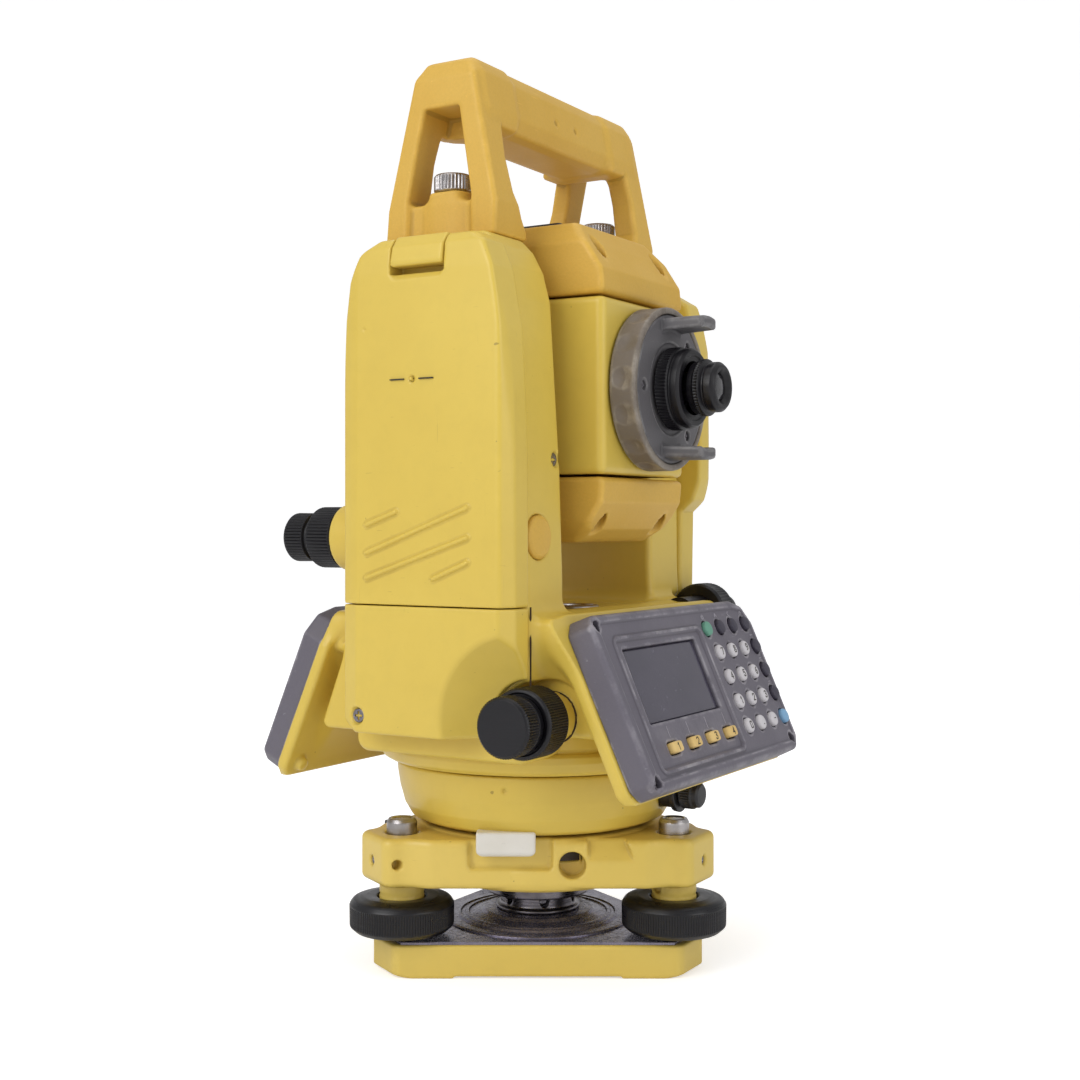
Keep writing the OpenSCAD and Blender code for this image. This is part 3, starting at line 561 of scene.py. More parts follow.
def metal(name, base, dark, rough=0.3, metallic=1.0, grime=0.4, brush=(1, 1, 30), pits=0.3, seed=0.0):
    """Turned or plated metal with machining lines, tarnish and small pits."""
    n = Net(name)
    lines = n.noise(60, 4, 0.6, stretch=brush, offset=seed)
    stain = n.noise(45, 5, 0.65, offset=seed + 2)
    colour = n.mix(n.ramp(stain, 0.4, 0.75, 0, grime), base, dark)
    colour = n.mix(n.ramp(lines, 0.35, 0.7, 0, 0.25), colour, tuple(c * 0.6 for c in base))
    pit = n.ramp(n.noise(700, 3, 0.6, offset=seed + 5), 0.7, 0.78)
    colour = n.mix(n.mul(pit, pits), colour, dark)
    r = n.math("ADD", n.ramp(lines, 0.3, 0.7, rough - 0.08, rough + 0.1), n.ramp(stain, 0.5, 0.8, 0, 0.15))
    nrm = n.bump(lines, 0.12, 0.00006)
    nrm = n.bump(n.math("SUBTRACT", 1.0, pit), 0.3 * pits, 0.00008, nrm)
    n.set(Base_Color=colour, Roughness=r, Metallic=metallic, Normal=nrm)
    return n.mat


def smooth_plastic(name, base, shade, rough=0.4, seed=0.0, coat=0.0):
    n = Net(name)
    broad = n.noise(60, 4, 0.6, offset=seed)
    colour = n.mix(n.ramp(broad, 0.3, 0.75, 0, 0.5), base, shade)
    grime = n.ramp(n.noise(260, 4, 0.65, offset=seed + 1), 0.6, 0.75, 0, 0.25)
    colour = n.mix(grime, colour, tuple(c * 0.6 for c in shade))
    r = n.ramp(broad, 0.3, 0.7, rough - 0.06, rough + 0.08)
    n.set(Base_Color=colour, Roughness=r, Normal=n.bump(n.noise(1300, 2), 0.12, 0.00005))
    n.set(Coat_Weight=coat)
    return n.mat


def lens_glass(name, tint):
    n = Net(name)
    smear = n.noise(80, 3, 0.6)
    n.set(Base_Color=n.mix(n.ramp(smear, 0.4, 0.7, 0, 0.4), tint, tuple(c * 0.6 for c in tint)))
    n.set(Roughness=n.ramp(smear, 0.3, 0.7, 0.03, 0.09), Metallic=0.0, Coat_Weight=0.6, Coat_Roughness=0.04)
    n.set(Specular_IOR_Level=0.7)
    return n.mat


YELLOW = painted("paint_yellow", srgb(218, 190, 84), srgb(208, 178, 72), seed=1.0)
YELLOW_BASE = painted("paint_yellow_base", srgb(222, 194, 98), srgb(210, 182, 80), wear=0.9, rough=0.4,
                      seed=5.0)
AMBER = grained("plastic_amber", srgb(214, 173, 74), srgb(205, 161, 62), wear=0.25, rough=0.5, seed=2.0)
GREY = grained("plastic_grey", srgb(104, 100, 110), srgb(96, 92, 102), worn=srgb(176, 172, 178), rough=0.42,
               seed=3.0)
TAUPE = grained("plastic_taupe", srgb(118, 108, 98), srgb(104, 96, 88), worn=srgb(160, 152, 140),
                rough=0.45, seed=4.0)
GRIP_GREY = grained("plastic_plate", srgb(96, 94, 96), srgb(86, 84, 88), worn=srgb(140, 138, 138),
                    rough=0.45, seed=6.0)
BLACK = metal("black_anodised", srgb(15, 13, 19), srgb(9, 8, 11), rough=0.36, metallic=0.2, grime=0.3,
              pits=0.15)
BLACK_FOOT = metal("black_foot", srgb(13, 12, 18), srgb(8, 8, 11), rough=0.34, metallic=0.1, grime=0.3,
                   pits=0.2, seed=2)
BLACK_PLASTIC = smooth_plastic("black_plastic", srgb(34, 33, 36), srgb(26, 25, 28), rough=0.45)
# dark steel darkened further as painted shade: the clamp lever shows through the tribrach notch and should
# read as a dark gap
STEEL_SHADED = metal("steel_painted_shade", srgb(62, 55, 50), srgb(36, 32, 30), rough=0.5, metallic=0.3, grime=0.5,
                    pits=0.3, seed=12)
STEEL = metal("steel_plated", srgb(196, 192, 192), srgb(112, 108, 108), rough=0.3, grime=0.6, pits=0.6)
STEEL_DARK = metal("steel_turned", srgb(140, 136, 142), srgb(70, 66, 70), rough=0.3, grime=0.6, pits=0.7,
                   seed=4)
CHROME = metal("spring_steel", srgb(140, 135, 152), srgb(58, 54, 68), rough=0.24, metallic=0.7, grime=0.7,
               pits=0.7, brush=(8, 8, 1), seed=7)
WHITE = smooth_plastic("white_plastic", srgb(222, 219, 212), srgb(206, 202, 192), rough=0.45)
GLASS = lens_glass("coated_glass", srgb(46, 52, 70))
LENS = lens_glass("eyepiece_glass", srgb(22, 20, 28))
KEY_WHITE = smooth_plastic("key_white", srgb(206, 203, 206), srgb(186, 182, 188), rough=0.5, seed=1)
KEY_DARK = smooth_plastic("key_dark", srgb(60, 56, 70), srgb(48, 45, 58), rough=0.5, seed=2)
KEY_GREEN = smooth_plastic("key_green", srgb(104, 160, 138), srgb(88, 142, 122), rough=0.5, seed=3)
KEY_BLUE = smooth_plastic("key_blue", srgb(128, 172, 206), srgb(108, 152, 190), rough=0.5, seed=4)
KEY_YELLOW = smooth_plastic("key_yellow", srgb(224, 192, 122), srgb(204, 168, 98), rough=0.5, seed=5)
# painted shadow: dark brown for the shade in seams and gaps, put on thin pieces laid there
SHADE = smooth_plastic("seam_painted_shadow", srgb(58, 40, 20), srgb(44, 30, 16), rough=0.7, seed=9)
BOARD = smooth_plastic("board_green", srgb(40, 90, 60), srgb(30, 70, 48), rough=0.4, seed=6)
PANEL_INK = smooth_plastic("panel_ink", srgb(176, 172, 180), srgb(150, 146, 156), rough=0.5, seed=7)


def display_material():
    """Smoked window over a grey-green cell."""
    n = Net("display_window")
    fleck = n.noise(500, 3, 0.6)
    base = n.mix(n.ramp(n.noise(30, 2), 0.3, 0.7), srgb(64, 59, 76), srgb(56, 52, 68))
    base = n.mix(n.ramp(fleck, 0.68, 0.74, 0, 0.35), base, srgb(150, 148, 160))
    n.set(Base_Color=base, Roughness=n.ramp(n.noise(60, 3), 0.3, 0.7, 0.10, 0.2), Coat_Weight=0.5)
    n.set(Coat_Roughness=0.08)
    return n.mat


DISPLAY = display_material()


# ---------------------------------------------------------------- alidade shell

NEAR_OUT = [
    (-38, 84), (36, 84), (36, 186), (34, 240), (31, 260), (28, TOP_Z), (-20, TOP_Z),
    (-25.5, 264.5), (-29.6, 257), (-32.5, 246), (-36.3, 186), (-37.5, 149),
]
FAR_OUT = [
    (-31, 84), (33, 84), (31, 186), (30, 250), (26, TOP_Z), (-18, TOP_Z), (-24, 262),
    (-27, 247), (-27.5, 149),
]
WEDGE_OUT = [(30, 92.4), (57, 92.4), (69, 80.5), (75.5, 77), (SEAT_Y, FLOOR_Z), (30, FLOOR_Z)]


HOUSING = [
    (-57.5, -0.8), (-62, -5.5), (-60, -62), (-56, -66.5), (66.3, -66.5), (70.8, -61.5),
    (70.8, -11.5), (66, -3.5), (57, -0.8),
]


def seat_frame(x, y, z):
    """Coordinates on the nearer panel seat: x across, v up the slope, h out of the face."""
    a = np.abs(y) - SEAT_Y
    b = z - FLOOR_Z
    return -np.sign(y) * x, -a * SIN_L + b * COS_L, a * COS_L + b * SIN_L


def alidade_field(x, y, z):
    near = both(2.2, outline(y, z, NEAR_OUT, 5.0), slab(x, -SEAM_X, -44))
    far = both(2.2, outline(y, z, FAR_OUT, 4.0), slab(x, 43, SEAM_X))
    base = both(2.0, rect(x, y, -64, 64, -36, 36, 6), slab(z, 92.6, FLOOR_Z))
    lift = np.clip((z - 106) / 26, 0, 1)
    reach = 56 + 13.4 * lift * lift * (3 - 2 * lift)
    wedge = both(2.5, outline(np.abs(y), z, WEDGE_OUT, 2.5), (np.abs(x) - reach) * 0.85)
    web = both(1.6, outline(y, z, [(28, 91.3), (52.8, 91.3), (40.5, 123.5), (28, 123.5)], 2.5),
               slab(x, -SEAM_X, -56))
    core = join(4.0, wedge, base)
    core = join(6.0, core, np.minimum(near, far))
    core = join(1.0, core, web)
    p, v, h = seat_frame(x, y, z)
    rim = both(0.8, outline(p, v, HOUSING, 3.2) - 1.8, -67.3 - v)
    seat = both(1.5, rim, slab(h, -8.4, -3.6))
    pad = np.minimum(ring(p, v, 66.0, -9.0), ring(p, v, 65.0, -60.0)) - 2.6
    seat = join(1.2, seat, both(1.2, pad, slab(h, -11.0, -6)))
    body = join(5.0, core, seat)
    body = pocket(body, 0.5, 0.3, -3.6 - h, v - 4, np.abs(x) - 80)
    body = pocket(body, 0.8, 1.0, ring(y, z, *HK) - 13.6, x + 56.2)
    body = both(0.3, body, 71.8 - z)
    body = pocket(body, 0.8, 0.5, ring(y, z, *PL) - 13.0, 62 - x)
    body = pocket(body, 0.6, 0.3, ring(y, z, 0, TILT_Z) - 14.9, 62 - np.abs(x), 42 - np.abs(x))
    body = pocket(body, 0.5, 0.3, ring(x, z, -61.5, 162.5) - 7.9, y + 33)
    body = pocket(body, 0.5, 0.3, ring(x, z, -47.5, 190) - 2.8, y + 34.6)
    body = pocket(body, 0.4, 0.3, ring(x, y, -5, -20) - 9.1, 130.4 - z)
    body = cut(0.4, body, length(x - 41, y + 4, z - 143) - 1.6)
    at_hk, at_vk, at_pl = ring(y, z, *HK), ring(x, z, *VK), ring(y, z, *PL)
    for collar in (
        both(0.4, at_hk - 8.8, slab(x, -66, -48)),
        both(0.3, at_hk - 7.0, slab(x, -78, -64)),
        both(1.0, at_vk - 12.5, slab(y, 30, 47)),
        both(0.5, at_vk - 8.5, slab(y, 44, 59.5)),
        both(1.0, at_pl - 9.2, slab(x, 46, 66), z - 135.2),
    ):
        body = np.minimum(body, collar)
    for axis, run in ((at_hk, slab(x, -80, -36)), (at_vk, slab(y, 18, 62))):
        body = pocket(body, 0.2, 0.1, axis - SHAFT_R, run)
    body = pocket(body, 0.2, 0.1, ring(y, z, *PL) - 7.0, slab(x, 49, 70))
    for sx in (-55, 55):
        body = pocket(body, 0.3, 0.1, ring(x, y, sx, 3) - 3.1, 254 - z)
    return body


moulded(
    "alidade_shell", alidade_field, (-79, -80, 71), (79, 80, 271), 0.85,
    "alidade", YELLOW, ("alidade_frame",),
)

turned(
    "turning_skirt",
    [(50, 82), (50, 77), (58.4, 77, 0.5), (60.8, 78.4, 1.5), (62, 81.6, 1.5), (62, 84.0, 0.9),
     (61.0, 85.0, 0.4), (60.2, 85.2, 0.3),
     (60.0, 86.0, 0.4), (60.6, 86.8, 0.5), (60.8, 93.8, 0.4), (30, 93.8), (30, 82), (50, 82)],
    "alidade", YELLOW, slot="yellow_paint", seg=180,
)


# ---------------------------------------------------------------- covers and battery


def plan_near(x, y):
    return outline(
        x, y,
        [(-SEAM_X + 0.3, -39.2), (-79.5, -39.2), (-BATT_X, -35.4), (-BATT_X, 24), (-82.5, 31.5),
         (-76, 33.4), (-SEAM_X + 0.3, 33.4)],
        2.6,
    )


def lower_cover_field(x, y, z):
    prof = outline(y, z, [(-41, 93), (25.5, 93), (34, 98.5), (34, 150), (-41, 150)], 2.2)
    d = both(1.3, plan_near(x, y), prof)
    d = both(0.45, d, z - 138.35, x + SEAM_X + 0.05)
    t = np.clip((ring(y, z, *ROOM_AT) - 9) / 21, 0, 1.6)
    d = cut(1.2, d, (x + 71.9 + 13.6 * t * t) / np.sqrt(1 + 1.68 * t * t))
    d = cut(0.4, d, ring(y, z, *HK) - 14.6)
    d = pocket(d, 0.8, 0.8, ring(y, z, 24, 99) - 3.1, x + 83.4)
    return d


moulded(
    "lower_cover_shell", lower_cover_field, (-86, -42, 92), (-69, 35, 139.5), 0.62,
    "alidade", YELLOW, ("lower_cover",),
)

# thin dark ring painted as the shadow where the collar meets the wall
turned(
    "collar_gap_shadow", [(8.6, 55.4), (9.3, 55.4), (9.3, 56.4), (8.6, 56.4), (8.6, 55.4)],
    "alidade", SHADE, slot="black_plastic", axis="-x", at=(0, *HK), seg=72,
)

BATT_OUT = [
    (-41, 138.8), (34, 138.8), (34, 205), (31, 240), (28.5, 253), (23.5, 262.5), (16, 268),
    (-23, 268), (-29, 264), (-33, 254.5), (-36.5, 235), (-39.5, 195),
]


def battery_field(x, y, z):
    prof = outline(y, z, [(-41, 125), (34, 125)] + BATT_OUT[2:], 4.0)
    crown = outline(x, z, [(-69.7, 130), (-BATT_X, 130), (-BATT_X, 255), (-84.2, 264), (-81, 268.2),
                           (-69.7, 268.2)], 3.0)
    d = both(1.8, prof, plan_near(x, y), crown)
    d = both(0.45, d, 138.8 - z, x + SEAM_X + 0.05)
    latch = both(0.4, slab(y, -13.2, 9.7), 254.3 - z, x + 77)
    d = cut(0.5, d, latch)
    thumb = both(1.6, slab(y, -12.4, 8.9), slab(z, 252.6, 258), x + 83.9)
    d = cut(0.8, d, thumb)
    on = x + BATT_X
    for y0, z0, y1, z1 in ((19.5, 166.8, 6.8, 171.3), (19.5, 156.9, -23.0, 172.6),
                           (19.5, 148.0, -23.0, 162.4),
                           (-9.0, 148.2, -23.0, 153.9)):
        rib = bar(on, y, z, (0.2, y0, z0), (0.2, y1, z1), 0.85)
        d = np.where(rib < 2.5, join(0.3, d, rib), d)
    d = cut(0.3, d, length(on, y, z - TILT_Z) - 1.5)
    d = np.minimum(d, length(on - 0.2, y, z - TILT_Z) - 0.7)
    d = cut(0.3, d, length(on, y - 20.5, z - 236) - 0.9)
    return d


moulded(
    "battery_shell", battery_field, (-87, -42, 138), (-69, 35, 269), 0.62,
    "battery", YELLOW, ("battery_pack",),
)


def latch_field(x, y, z):
    crown = outline(x, z, [(-77.3, 257), (-BATT_X, 257), (-BATT_X, 259), (-84.3, 264), (-81.2, 268),
                           (-77.3, 268)], 1.2)
    return both(0.9, crown, slab(y, -12.7, 9.2))


moulded(
    "battery_latch_tab", latch_field, (-86, -14, 256), (-76, 10, 269), 0.4,
    "latch", YELLOW, ("battery_latch",),
)


def far_cover_field(x, y, z):
    prof = outline(
        y, z,
        [(-29, 93), (30, 93), (36, 99), (36, 236), (33, 252), (24, 266), (-22, 266), (-31, 260),
         (-36.5, 240), (-38, 200), (-37.5, 186), (-34, 177), (-28.5, 172), (-28, 140)],
        3.0,
    )
    plan = outline(x, y, [(69.7, -38), (78, -38), (82, -36), (84, -32), (84, 28), (82, 33), (78, 36),
                          (69.7, 36)], 2.0)
    crown = outline(x, z, [(69.7, 80), (84, 80), (84, 252), (82.5, 261), (78, 266), (69.7, 266)], 3.0)
    d = both(2.0, prof, plan, crown)
    d = np.maximum(d, SEAM_X - x)
    d = pocket(d, 0.8, 0.5, ring(y, z, *PL) - 13.0, 62 - x)
    d = pocket(d, 0.3, 0.2, np.abs(rect(y, z, -22, 22, 150, 250, 8)) - 0.35, 83.5 - x)
    return d


moulded(
    "far_cover_shell", far_cover_field, (69, -39, 92), (85, 37, 267), 0.75,
    "alidade", YELLOW, ("far_cover",),
)


# ---------------------------------------------------------------- keyboard housings

KEY_X0, KEY_Y0, KEY_DX, KEY_DY, KEY_R, KEY_GAP = 30.0, -21.8, 11.8, 10.1, 2.95, 0.4
F_HALF_X, F_HALF_V, F_POCKET_X, F_POCKET_V, F_SQUARE = 3.9, 2.05, 4.3, 2.45, 0.42
TOP_ROW = [(27 + 12.1 * c, -11.8) for c in range(4)]
GRID = {(c, r): (KEY_X0 + KEY_DX * c, KEY_Y0 - KEY_DY * r) for c in range(4) for r in range(4)}
F_KEYS = [(-34 + 15.6 * c, -52.4) for c in range(4)]
PANEL_SCREWS = [(-57, -5.6), (-55.6, -61.8), (65.5, -61.2)]


def panel_place(side):
    """Maps panel coordinates (x, v, h) into the row frame."""

    def place(p):
        x, v, h = p[:, 0], p[:, 1], p[:, 2]
        y = -SEAT_Y + v * SIN_L - h * COS_L
        z = FLOOR_Z + v * COS_L + h * SIN_L
        if side:
            return np.stack([-x, -y, z], 1)
        return np.stack([x, y, z], 1)

    return place


FIELD = [
    (-56.8, -4.6), (-55, -62.2), (67.6, -62.2), (68.4, -58), (68.4, -13), (64.5, -6.2), (56, -4.6),
]


def housing_field(x, v, h):
    edge = outline(x, v, HOUSING, 3.4) + np.clip(h + 3.6, 0, 12) * 0.05
    d = both(2.0, edge, h - 6.5)
    d = both(0.4, d, -3.6 - h)
    d = pocket(d, 0.9, 0.8, outline(x, v, FIELD, 3.0), 5.7 - h)
    bezel = rect(x, v, -49.5, 20.8, -60, -10.6, 3.0)
    d = join(0.5, d, both(0.45, np.abs(bezel) - 0.6, slab(h, 4, 6.35)))
    d = pocket(d, 0.5, 0.4, bezel + 1.2, 5.2 - h)
    window = rect(x, v, -44.4, 14.4, -42.6, -14.6, 0.8)
    d = pocket(d, 0.35, 0.1, window, 2.9 - h)
    holes = None
    for p in TOP_ROW + list(GRID.values()):
        c = ring(x, v, *p) - (KEY_R + KEY_GAP)
        holes = c if holes is None else np.minimum(holes, c)
    for p in F_KEYS:
        oblong = rect(x, v, p[0] - F_POCKET_X, p[0] + F_POCKET_X, p[1] - F_POCKET_V, p[1] + F_POCKET_V, 1.3)
        holes = np.minimum(holes, oblong)
    d = pocket(d, 0.3, 0.1, holes, 2.4 - h)
    for p in PANEL_SCREWS:
        d = pocket(d, 0.3, 0.3, ring(x, v, *p) - 2.3, 2.6 - h)
    return d


def front_housing_field(x, v, h):
    y = -SEAT_Y + v * SIN_L - h * COS_L
    z = FLOOR_Z + v * COS_L + h * SIN_L
    return cut(0.4, housing_field(x, v, h), both(0.5, ring(y, z, *PL) - 13.2, 60 - x))


def keycap(name, spots, side, body, mat, node, slot):
    """Domed silicone keys of one colour; every key sits in its own pocket."""
    verts, faces = [], []
    oblong = spots is F_KEYS
    seg = 28
    rows = [(1.0, 3.3), (1.0, 6.2), (0.965, 6.75), (0.86, 7.1), (0.6, 7.28), (0.3, 7.33)]
    for cx, cv in spots:
        base = len(verts)
        for k, h in rows:
            for i in range(seg):
                a = 2 * math.pi * i / seg
                c, s = math.cos(a), math.sin(a)
                if oblong:
                    px = math.copysign(abs(c) ** F_SQUARE, c) * F_HALF_X * k
                    pv = math.copysign(abs(s) ** F_SQUARE, s) * (F_HALF_V - (1 - k) * 1.4)
                else:
                    px, pv = c * KEY_R * 0.98 * k, s * KEY_R * 0.98 * k
                verts.append((cx + px, cv + pv, h))
        for r in range(len(rows) - 1):
            for i in range(seg):
                j = (i + 1) % seg
                low, high = base + r * seg, base + (r + 1) * seg
                faces.append((low + i, low + j, high + j, high + i))
        faces.append(tuple(base + (len(rows) - 1) * seg + i for i in range(seg)))
        faces.append(tuple(base + i for i in range(seg))[::-1])
    dress(new_object(name, panel_place(side)(np.array(verts)), faces, body, mat), (node,))


def window_field(x, v, h):
    return both(0.3, rect(x, v, -44.2, 14.2, -42.4, -14.8, 0.7), slab(h, 2.6, 3.9))


SIDES = ((0, "front"), (1, "rear"))
for side, tag in SIDES:
    moulded(
        f"{tag}_housing", housing_field if side else front_housing_field, (-63, -68, -4), (72, 1, 7), 0.5,
        "alidade", GREY, (f"{tag}_panel",), place=panel_place(side), reach=0.9,
    )
    moulded(
        f"{tag}_window", window_field, (-45, -43, 2), (15, -14, 6), 0.7,
        "alidade", DISPLAY, (f"{tag}_display",), place=panel_place(side), reach=0.5,
    )

WHITE_SPOTS = [GRID[c, r] for c in range(3) for r in range(4)]
DARK_SPOTS = TOP_ROW[1:] + [GRID[3, r] for r in range(3)]
ENTER_SPOT = [GRID[3, 3]]
# piece, spots, side, body, material, CAD node, slot
KEYCAPS = (
    ("power_cap", TOP_ROW[:1], 0, "power", KEY_GREEN, "power_key", "green_key"),
    ("number_caps", WHITE_SPOTS, 0, "numbers", KEY_WHITE, "number_keys", "white_keys"),
    ("menu_caps", DARK_SPOTS, 0, "menu", KEY_DARK, "menu_keys", "dark_keys"),
    ("enter_cap", ENTER_SPOT, 0, "enter", KEY_BLUE, "enter_key", "blue_key"),
    ("function_caps", F_KEYS, 0, "functions", KEY_YELLOW, "function_keys", "yellow_keys"),
    ("rear_number_caps", WHITE_SPOTS, 1, "rear_round", KEY_WHITE, "rear_keys", "white_keys"),
    ("rear_menu_caps", DARK_SPOTS, 1, "rear_round", KEY_DARK, "rear_keys", "dark_keys"),
    ("rear_power_cap", TOP_ROW[:1], 1, "rear_round", KEY_GREEN, "rear_keys", "green_key"),
    ("rear_enter_cap", ENTER_SPOT, 1, "rear_round", KEY_BLUE, "rear_keys", "blue_key"),
    ("rear_function_caps", F_KEYS, 1, "rear_functions", KEY_YELLOW, "rear_function_keys", "yellow_keys"),
)
for row in KEYCAPS:
    keycap(*row)


# ---------------------------------------------------------------- telescope

SY0, SY1, SH, SW = -47.5, 50.0, 32.5, 33.5


def scope_body_field(x, y, z):
    z = z - TILT_Z
    d = both(2.4, both(3.0, slab(x, -SW, SW), slab(y, SY0, SY1)), slab(z, -SH + 0.25, SH - 0.25))
    d = np.minimum(d, both(0.5, ring(x, z, 0, 0) - 25, slab(y, -54.9, -40)))
    d = pocket(d, 0.4, 0.2, ring(x, z, 0, 0) - 12.9, slab(y, -44, 60))
    d = pocket(d, 0.4, 0.2, ring(x, z, 0, 0) - 20.0, 38 - y)
    d = pocket(d, 0.4, 0.2, ring(x, z, 0, 0) - 6.0, y + 40)
    d = pocket(d, 0.4, 0.2, ring(y, z, 0, 0) - 10.0, 22 - np.abs(x))
    return d


def scope_cover_field(up, height):
    def field(x, y, z):
        w = (z - TILT_Z) * up - SH
        prof = outline(
            y, w,
            [(SY0, 0.1), (SY1, 0.1), (SY1 - 1, 11), (SY1 - 7, 20), (SY1 - 17, height), (SY0 + 15, height),
             (SY0 + 7.5, 20), (SY0 + 1, 10)],
            3.0,
        )
        face = outline(
            x, w,
            [(-SW, 0.1), (SW, 0.1), (SW, height - 9), (SW - 6.5, height), (6.5 - SW, height),
             (-SW, height - 9)],
            2.6,
        )
        d = both(2.2, prof, face, slab(x, -SW, SW))
        d = np.maximum(d, 0.1 - w)
        for sx in (-24, 24):
            d = pocket(d, 0.5, 0.6, ring(x, y, sx, SY0 + 7.5) - 3.1, 12.5 - w)
        return d

    return field


moulded(
    "telescope_case", scope_body_field, (-34, -56, 184), (34, 51, 251), 0.8,
    "telescope", YELLOW, ("telescope_body",),
)
moulded(
    "telescope_top_shell", scope_cover_field(1, 29.0), (-34, -49, 249), (34, 51, 280), 0.7,
    "telescope", AMBER, ("telescope_top",),
)
moulded(
    "telescope_bottom_shell", scope_cover_field(-1, 25.5), (-34, -49, 159), (34, 51, 186), 0.7,
    "telescope", AMBER, ("telescope_bottom",),
)


def sight_field(x, y, z):
    w = z - TILT_Z - SH - 29
    d = both(0.7, rect(x, y, -6.8, 6.8, -13.8, 9.8, 1.5), slab(w, 0.0, 4.5))
    d = pocket(d, 0.4, 0.2, slab(x, -1.6, 1.6), 3.2 - w)
    d = pocket(d, 0.3, 0.2, slab(x, -5, 5), slab(y, -11, 7), 4.0 - w)
    return d


moulded(
    "sight_bar", sight_field, (-8, -15, 278.5), (8, 11, 284), 0.4,
    "telescope", BLACK_PLASTIC, ("optical_sight",),
)


GRIP_SCREWS = [polar(22.0, a) for a in (180, 50, -50)]


def grip_field(x, y, z):
    z = z - TILT_Z
    r = ring(x, z, 0, 0)
    d = both(0.5, r - 27.8, slab(y, -58.3, -55.05))
    d = pocket(d, 0.4, 0.2, r - 17.2, y + 57.6)
    d = cut(0.3, d, r - 10.05)
    for s in (-1, 1):
        arc = np.abs(r - 24.6) - 2.1
        ear = both(1.2, arc, np.abs(x) - 8.2 + np.clip(-58 - y, 0, 16) * 0.12, slab(y, -74, -56),
                   -(z * s) + 4)
        d = join(1.2, d, ear)
    for spot in GRIP_SCREWS:
        d = pocket(d, 0.3, 0.2, ring(x, z, *spot) - 1.9, y + 57.0)
    return d


moulded(
    "grip_plate", grip_field, (-29, -75, 188), (29, -54, 247), 0.55,
    "telescope", GRIP_GREY, ("telescope_grip",),
)


def focus_field(x, y, z):
    z = z - TILT_Z
    r = ring(x, z, 0, 0)
    d = both(1.1, r - 30.6, slab(y, -58.7, -48.1))
    d = np.maximum(d, 25.1 - r)
    d = cut(0.4, d, np.maximum(r - 28.05, y + 54.9))
    a = np.arctan2(z, x)
    step = 2 * math.pi / 14
    a = (a + step / 2 + 0.08) % step - step / 2
    u, w = r * np.cos(a) - 34.8, r * np.sin(a)
    dimple = length(y + 53.4, u, w) - 5.15
    return cut(1.3, d, dimple)


moulded(
    "focus_ring_rim", focus_field, (-31, -59, 186), (31, -48, 249), 0.5,
    "focus", TAUPE, ("focus_ring",),
)

turned(
    "eyepiece_lens", [(0, 77.3), (4.7, 77.3), (4.7, 77.75), (3.2, 78.2, 0.4), (0, 78.45)],
    "ocular", LENS, slot="optical_glass", axis="-y", at=(0, 0, TILT_Z), seg=48,
)
turned(
    "objective_hood",
    [(15, 38), (20, 38, 0.4), (20, 50.2), (25.5, 50.2, 0.6), (27, 51.6, 0.6), (27, 55.2, 0.4),
     (26.4, 55.8, 0.2),
     (26.4, 56.6, 0.2), (27, 57.2, 0.4), (27, 68.6, 1.0), (25.6, 70, 0.6), (23.6, 70, 0.5),
     (22.2, 68.5, 0.3), (22.2, 56),
     (15, 56), (15, 38)],
    "telescope", BLACK, ("objective_barrel",), "black_metal", axis="y", at=(0, 0, TILT_Z), seg=160,
)
turned(
    "objective_glass", [(0, 56.1), (22, 56.1), (22, 57.4, 0.3), (20, 58.4), (17.5, 59.2), (14, 60.1),
                        (10, 60.8), (5, 61.2), (0, 61.3)],
    "telescope", GLASS, ("objective_lens",), "optical_glass", axis="y", at=(0, 0, TILT_Z), seg=96,
)


# ---------------------------------------------------------------- carrying handle

H_NEAR, H_FAR, H_TOP = 63.0, 61.0, 335.0


def handle_field(x, y, z):
    edge = [(-20, TOP_Z - 9), (28, TOP_Z - 9), (28, TOP_Z), (27, 282), (15.4, 329.5), (11.0, H_TOP),
            (-7, H_TOP), (-10.8, 329.5), (-20.5, 282), (-20, TOP_Z)]
    hole = outline(y, z, [(-10.3, 262), (18.6, 262), (17.6, 285), (10.6, 317.5), (-4.2, 317.5),
                          (-9.6, 285)], 1.2)
    mid = (H_FAR - H_NEAR) / 2
    half = (H_FAR + H_NEAR) / 2
    ax = np.abs(x - mid)
    depth = outline(
        ax, z,
        [(half, TOP_Z - 9), (half, 283), (half - 0.6, 328), (half - 3.2, H_TOP), (half - 26, H_TOP),
         (half - 26, 311.5),
         (half - 14.5, 311.5), (half - 13.2, 300), (half - 14.5, 287), (half - 19, 278),
         (half - 22.5, 273.5), (half - 22.5, TOP_Z - 9)],
        2.0,
    )
    frame_ = both(2.0, outline(y, z, edge, 3.0), depth)
    grip = both(
        0.6,
        outline(y, z, [(-13.2, 317), (-11.2, 311.6), (-6.5, 310.6), (9.5, 310.6), (14.6, 312), (17.2, 318),
                       (14.8, 329.5), (10.6, H_TOP - 0.2), (-7, H_TOP - 0.2), (-10.9, 329.5)], 2.8),
        ax - half + 6,
    )
    d = join(3.5, frame_, grip)
    d = pocket(d, 1.3, 0.8, hole, slab(ax, half - 17.5, half + 6))
    web = both(1.2, slab(y, -14, 21), slab(z, TOP_Z - 9, 283.2), slab(ax, half - 15.0, half - 1.8))
    boss = both(1.2, ring(ax, y, half - 7.6, 3) - 8.3, slab(z, TOP_Z, 287.2), ax - half + 0.8)
    d = join(2.0, d, join(3.0, web, boss))
    d = both(0.5, d, TOP_Z - z)
    for dx in (-7.5, 7.5):
        d = cut(0.6, d, length(x - 1 - dx, y + 13.0, z - 322) - 1.5)
    d = pocket(d, 0.3, 0.1, ring(ax, y, half - 7, 3) - 3.1, slab(z, 260, 290))
    return d


moulded(
    "handle_moulding", handle_field, (-64, -22, 269.5), (62, 30, 336), 0.8,
    "handle", AMBER, ("carrying_handle",),
)

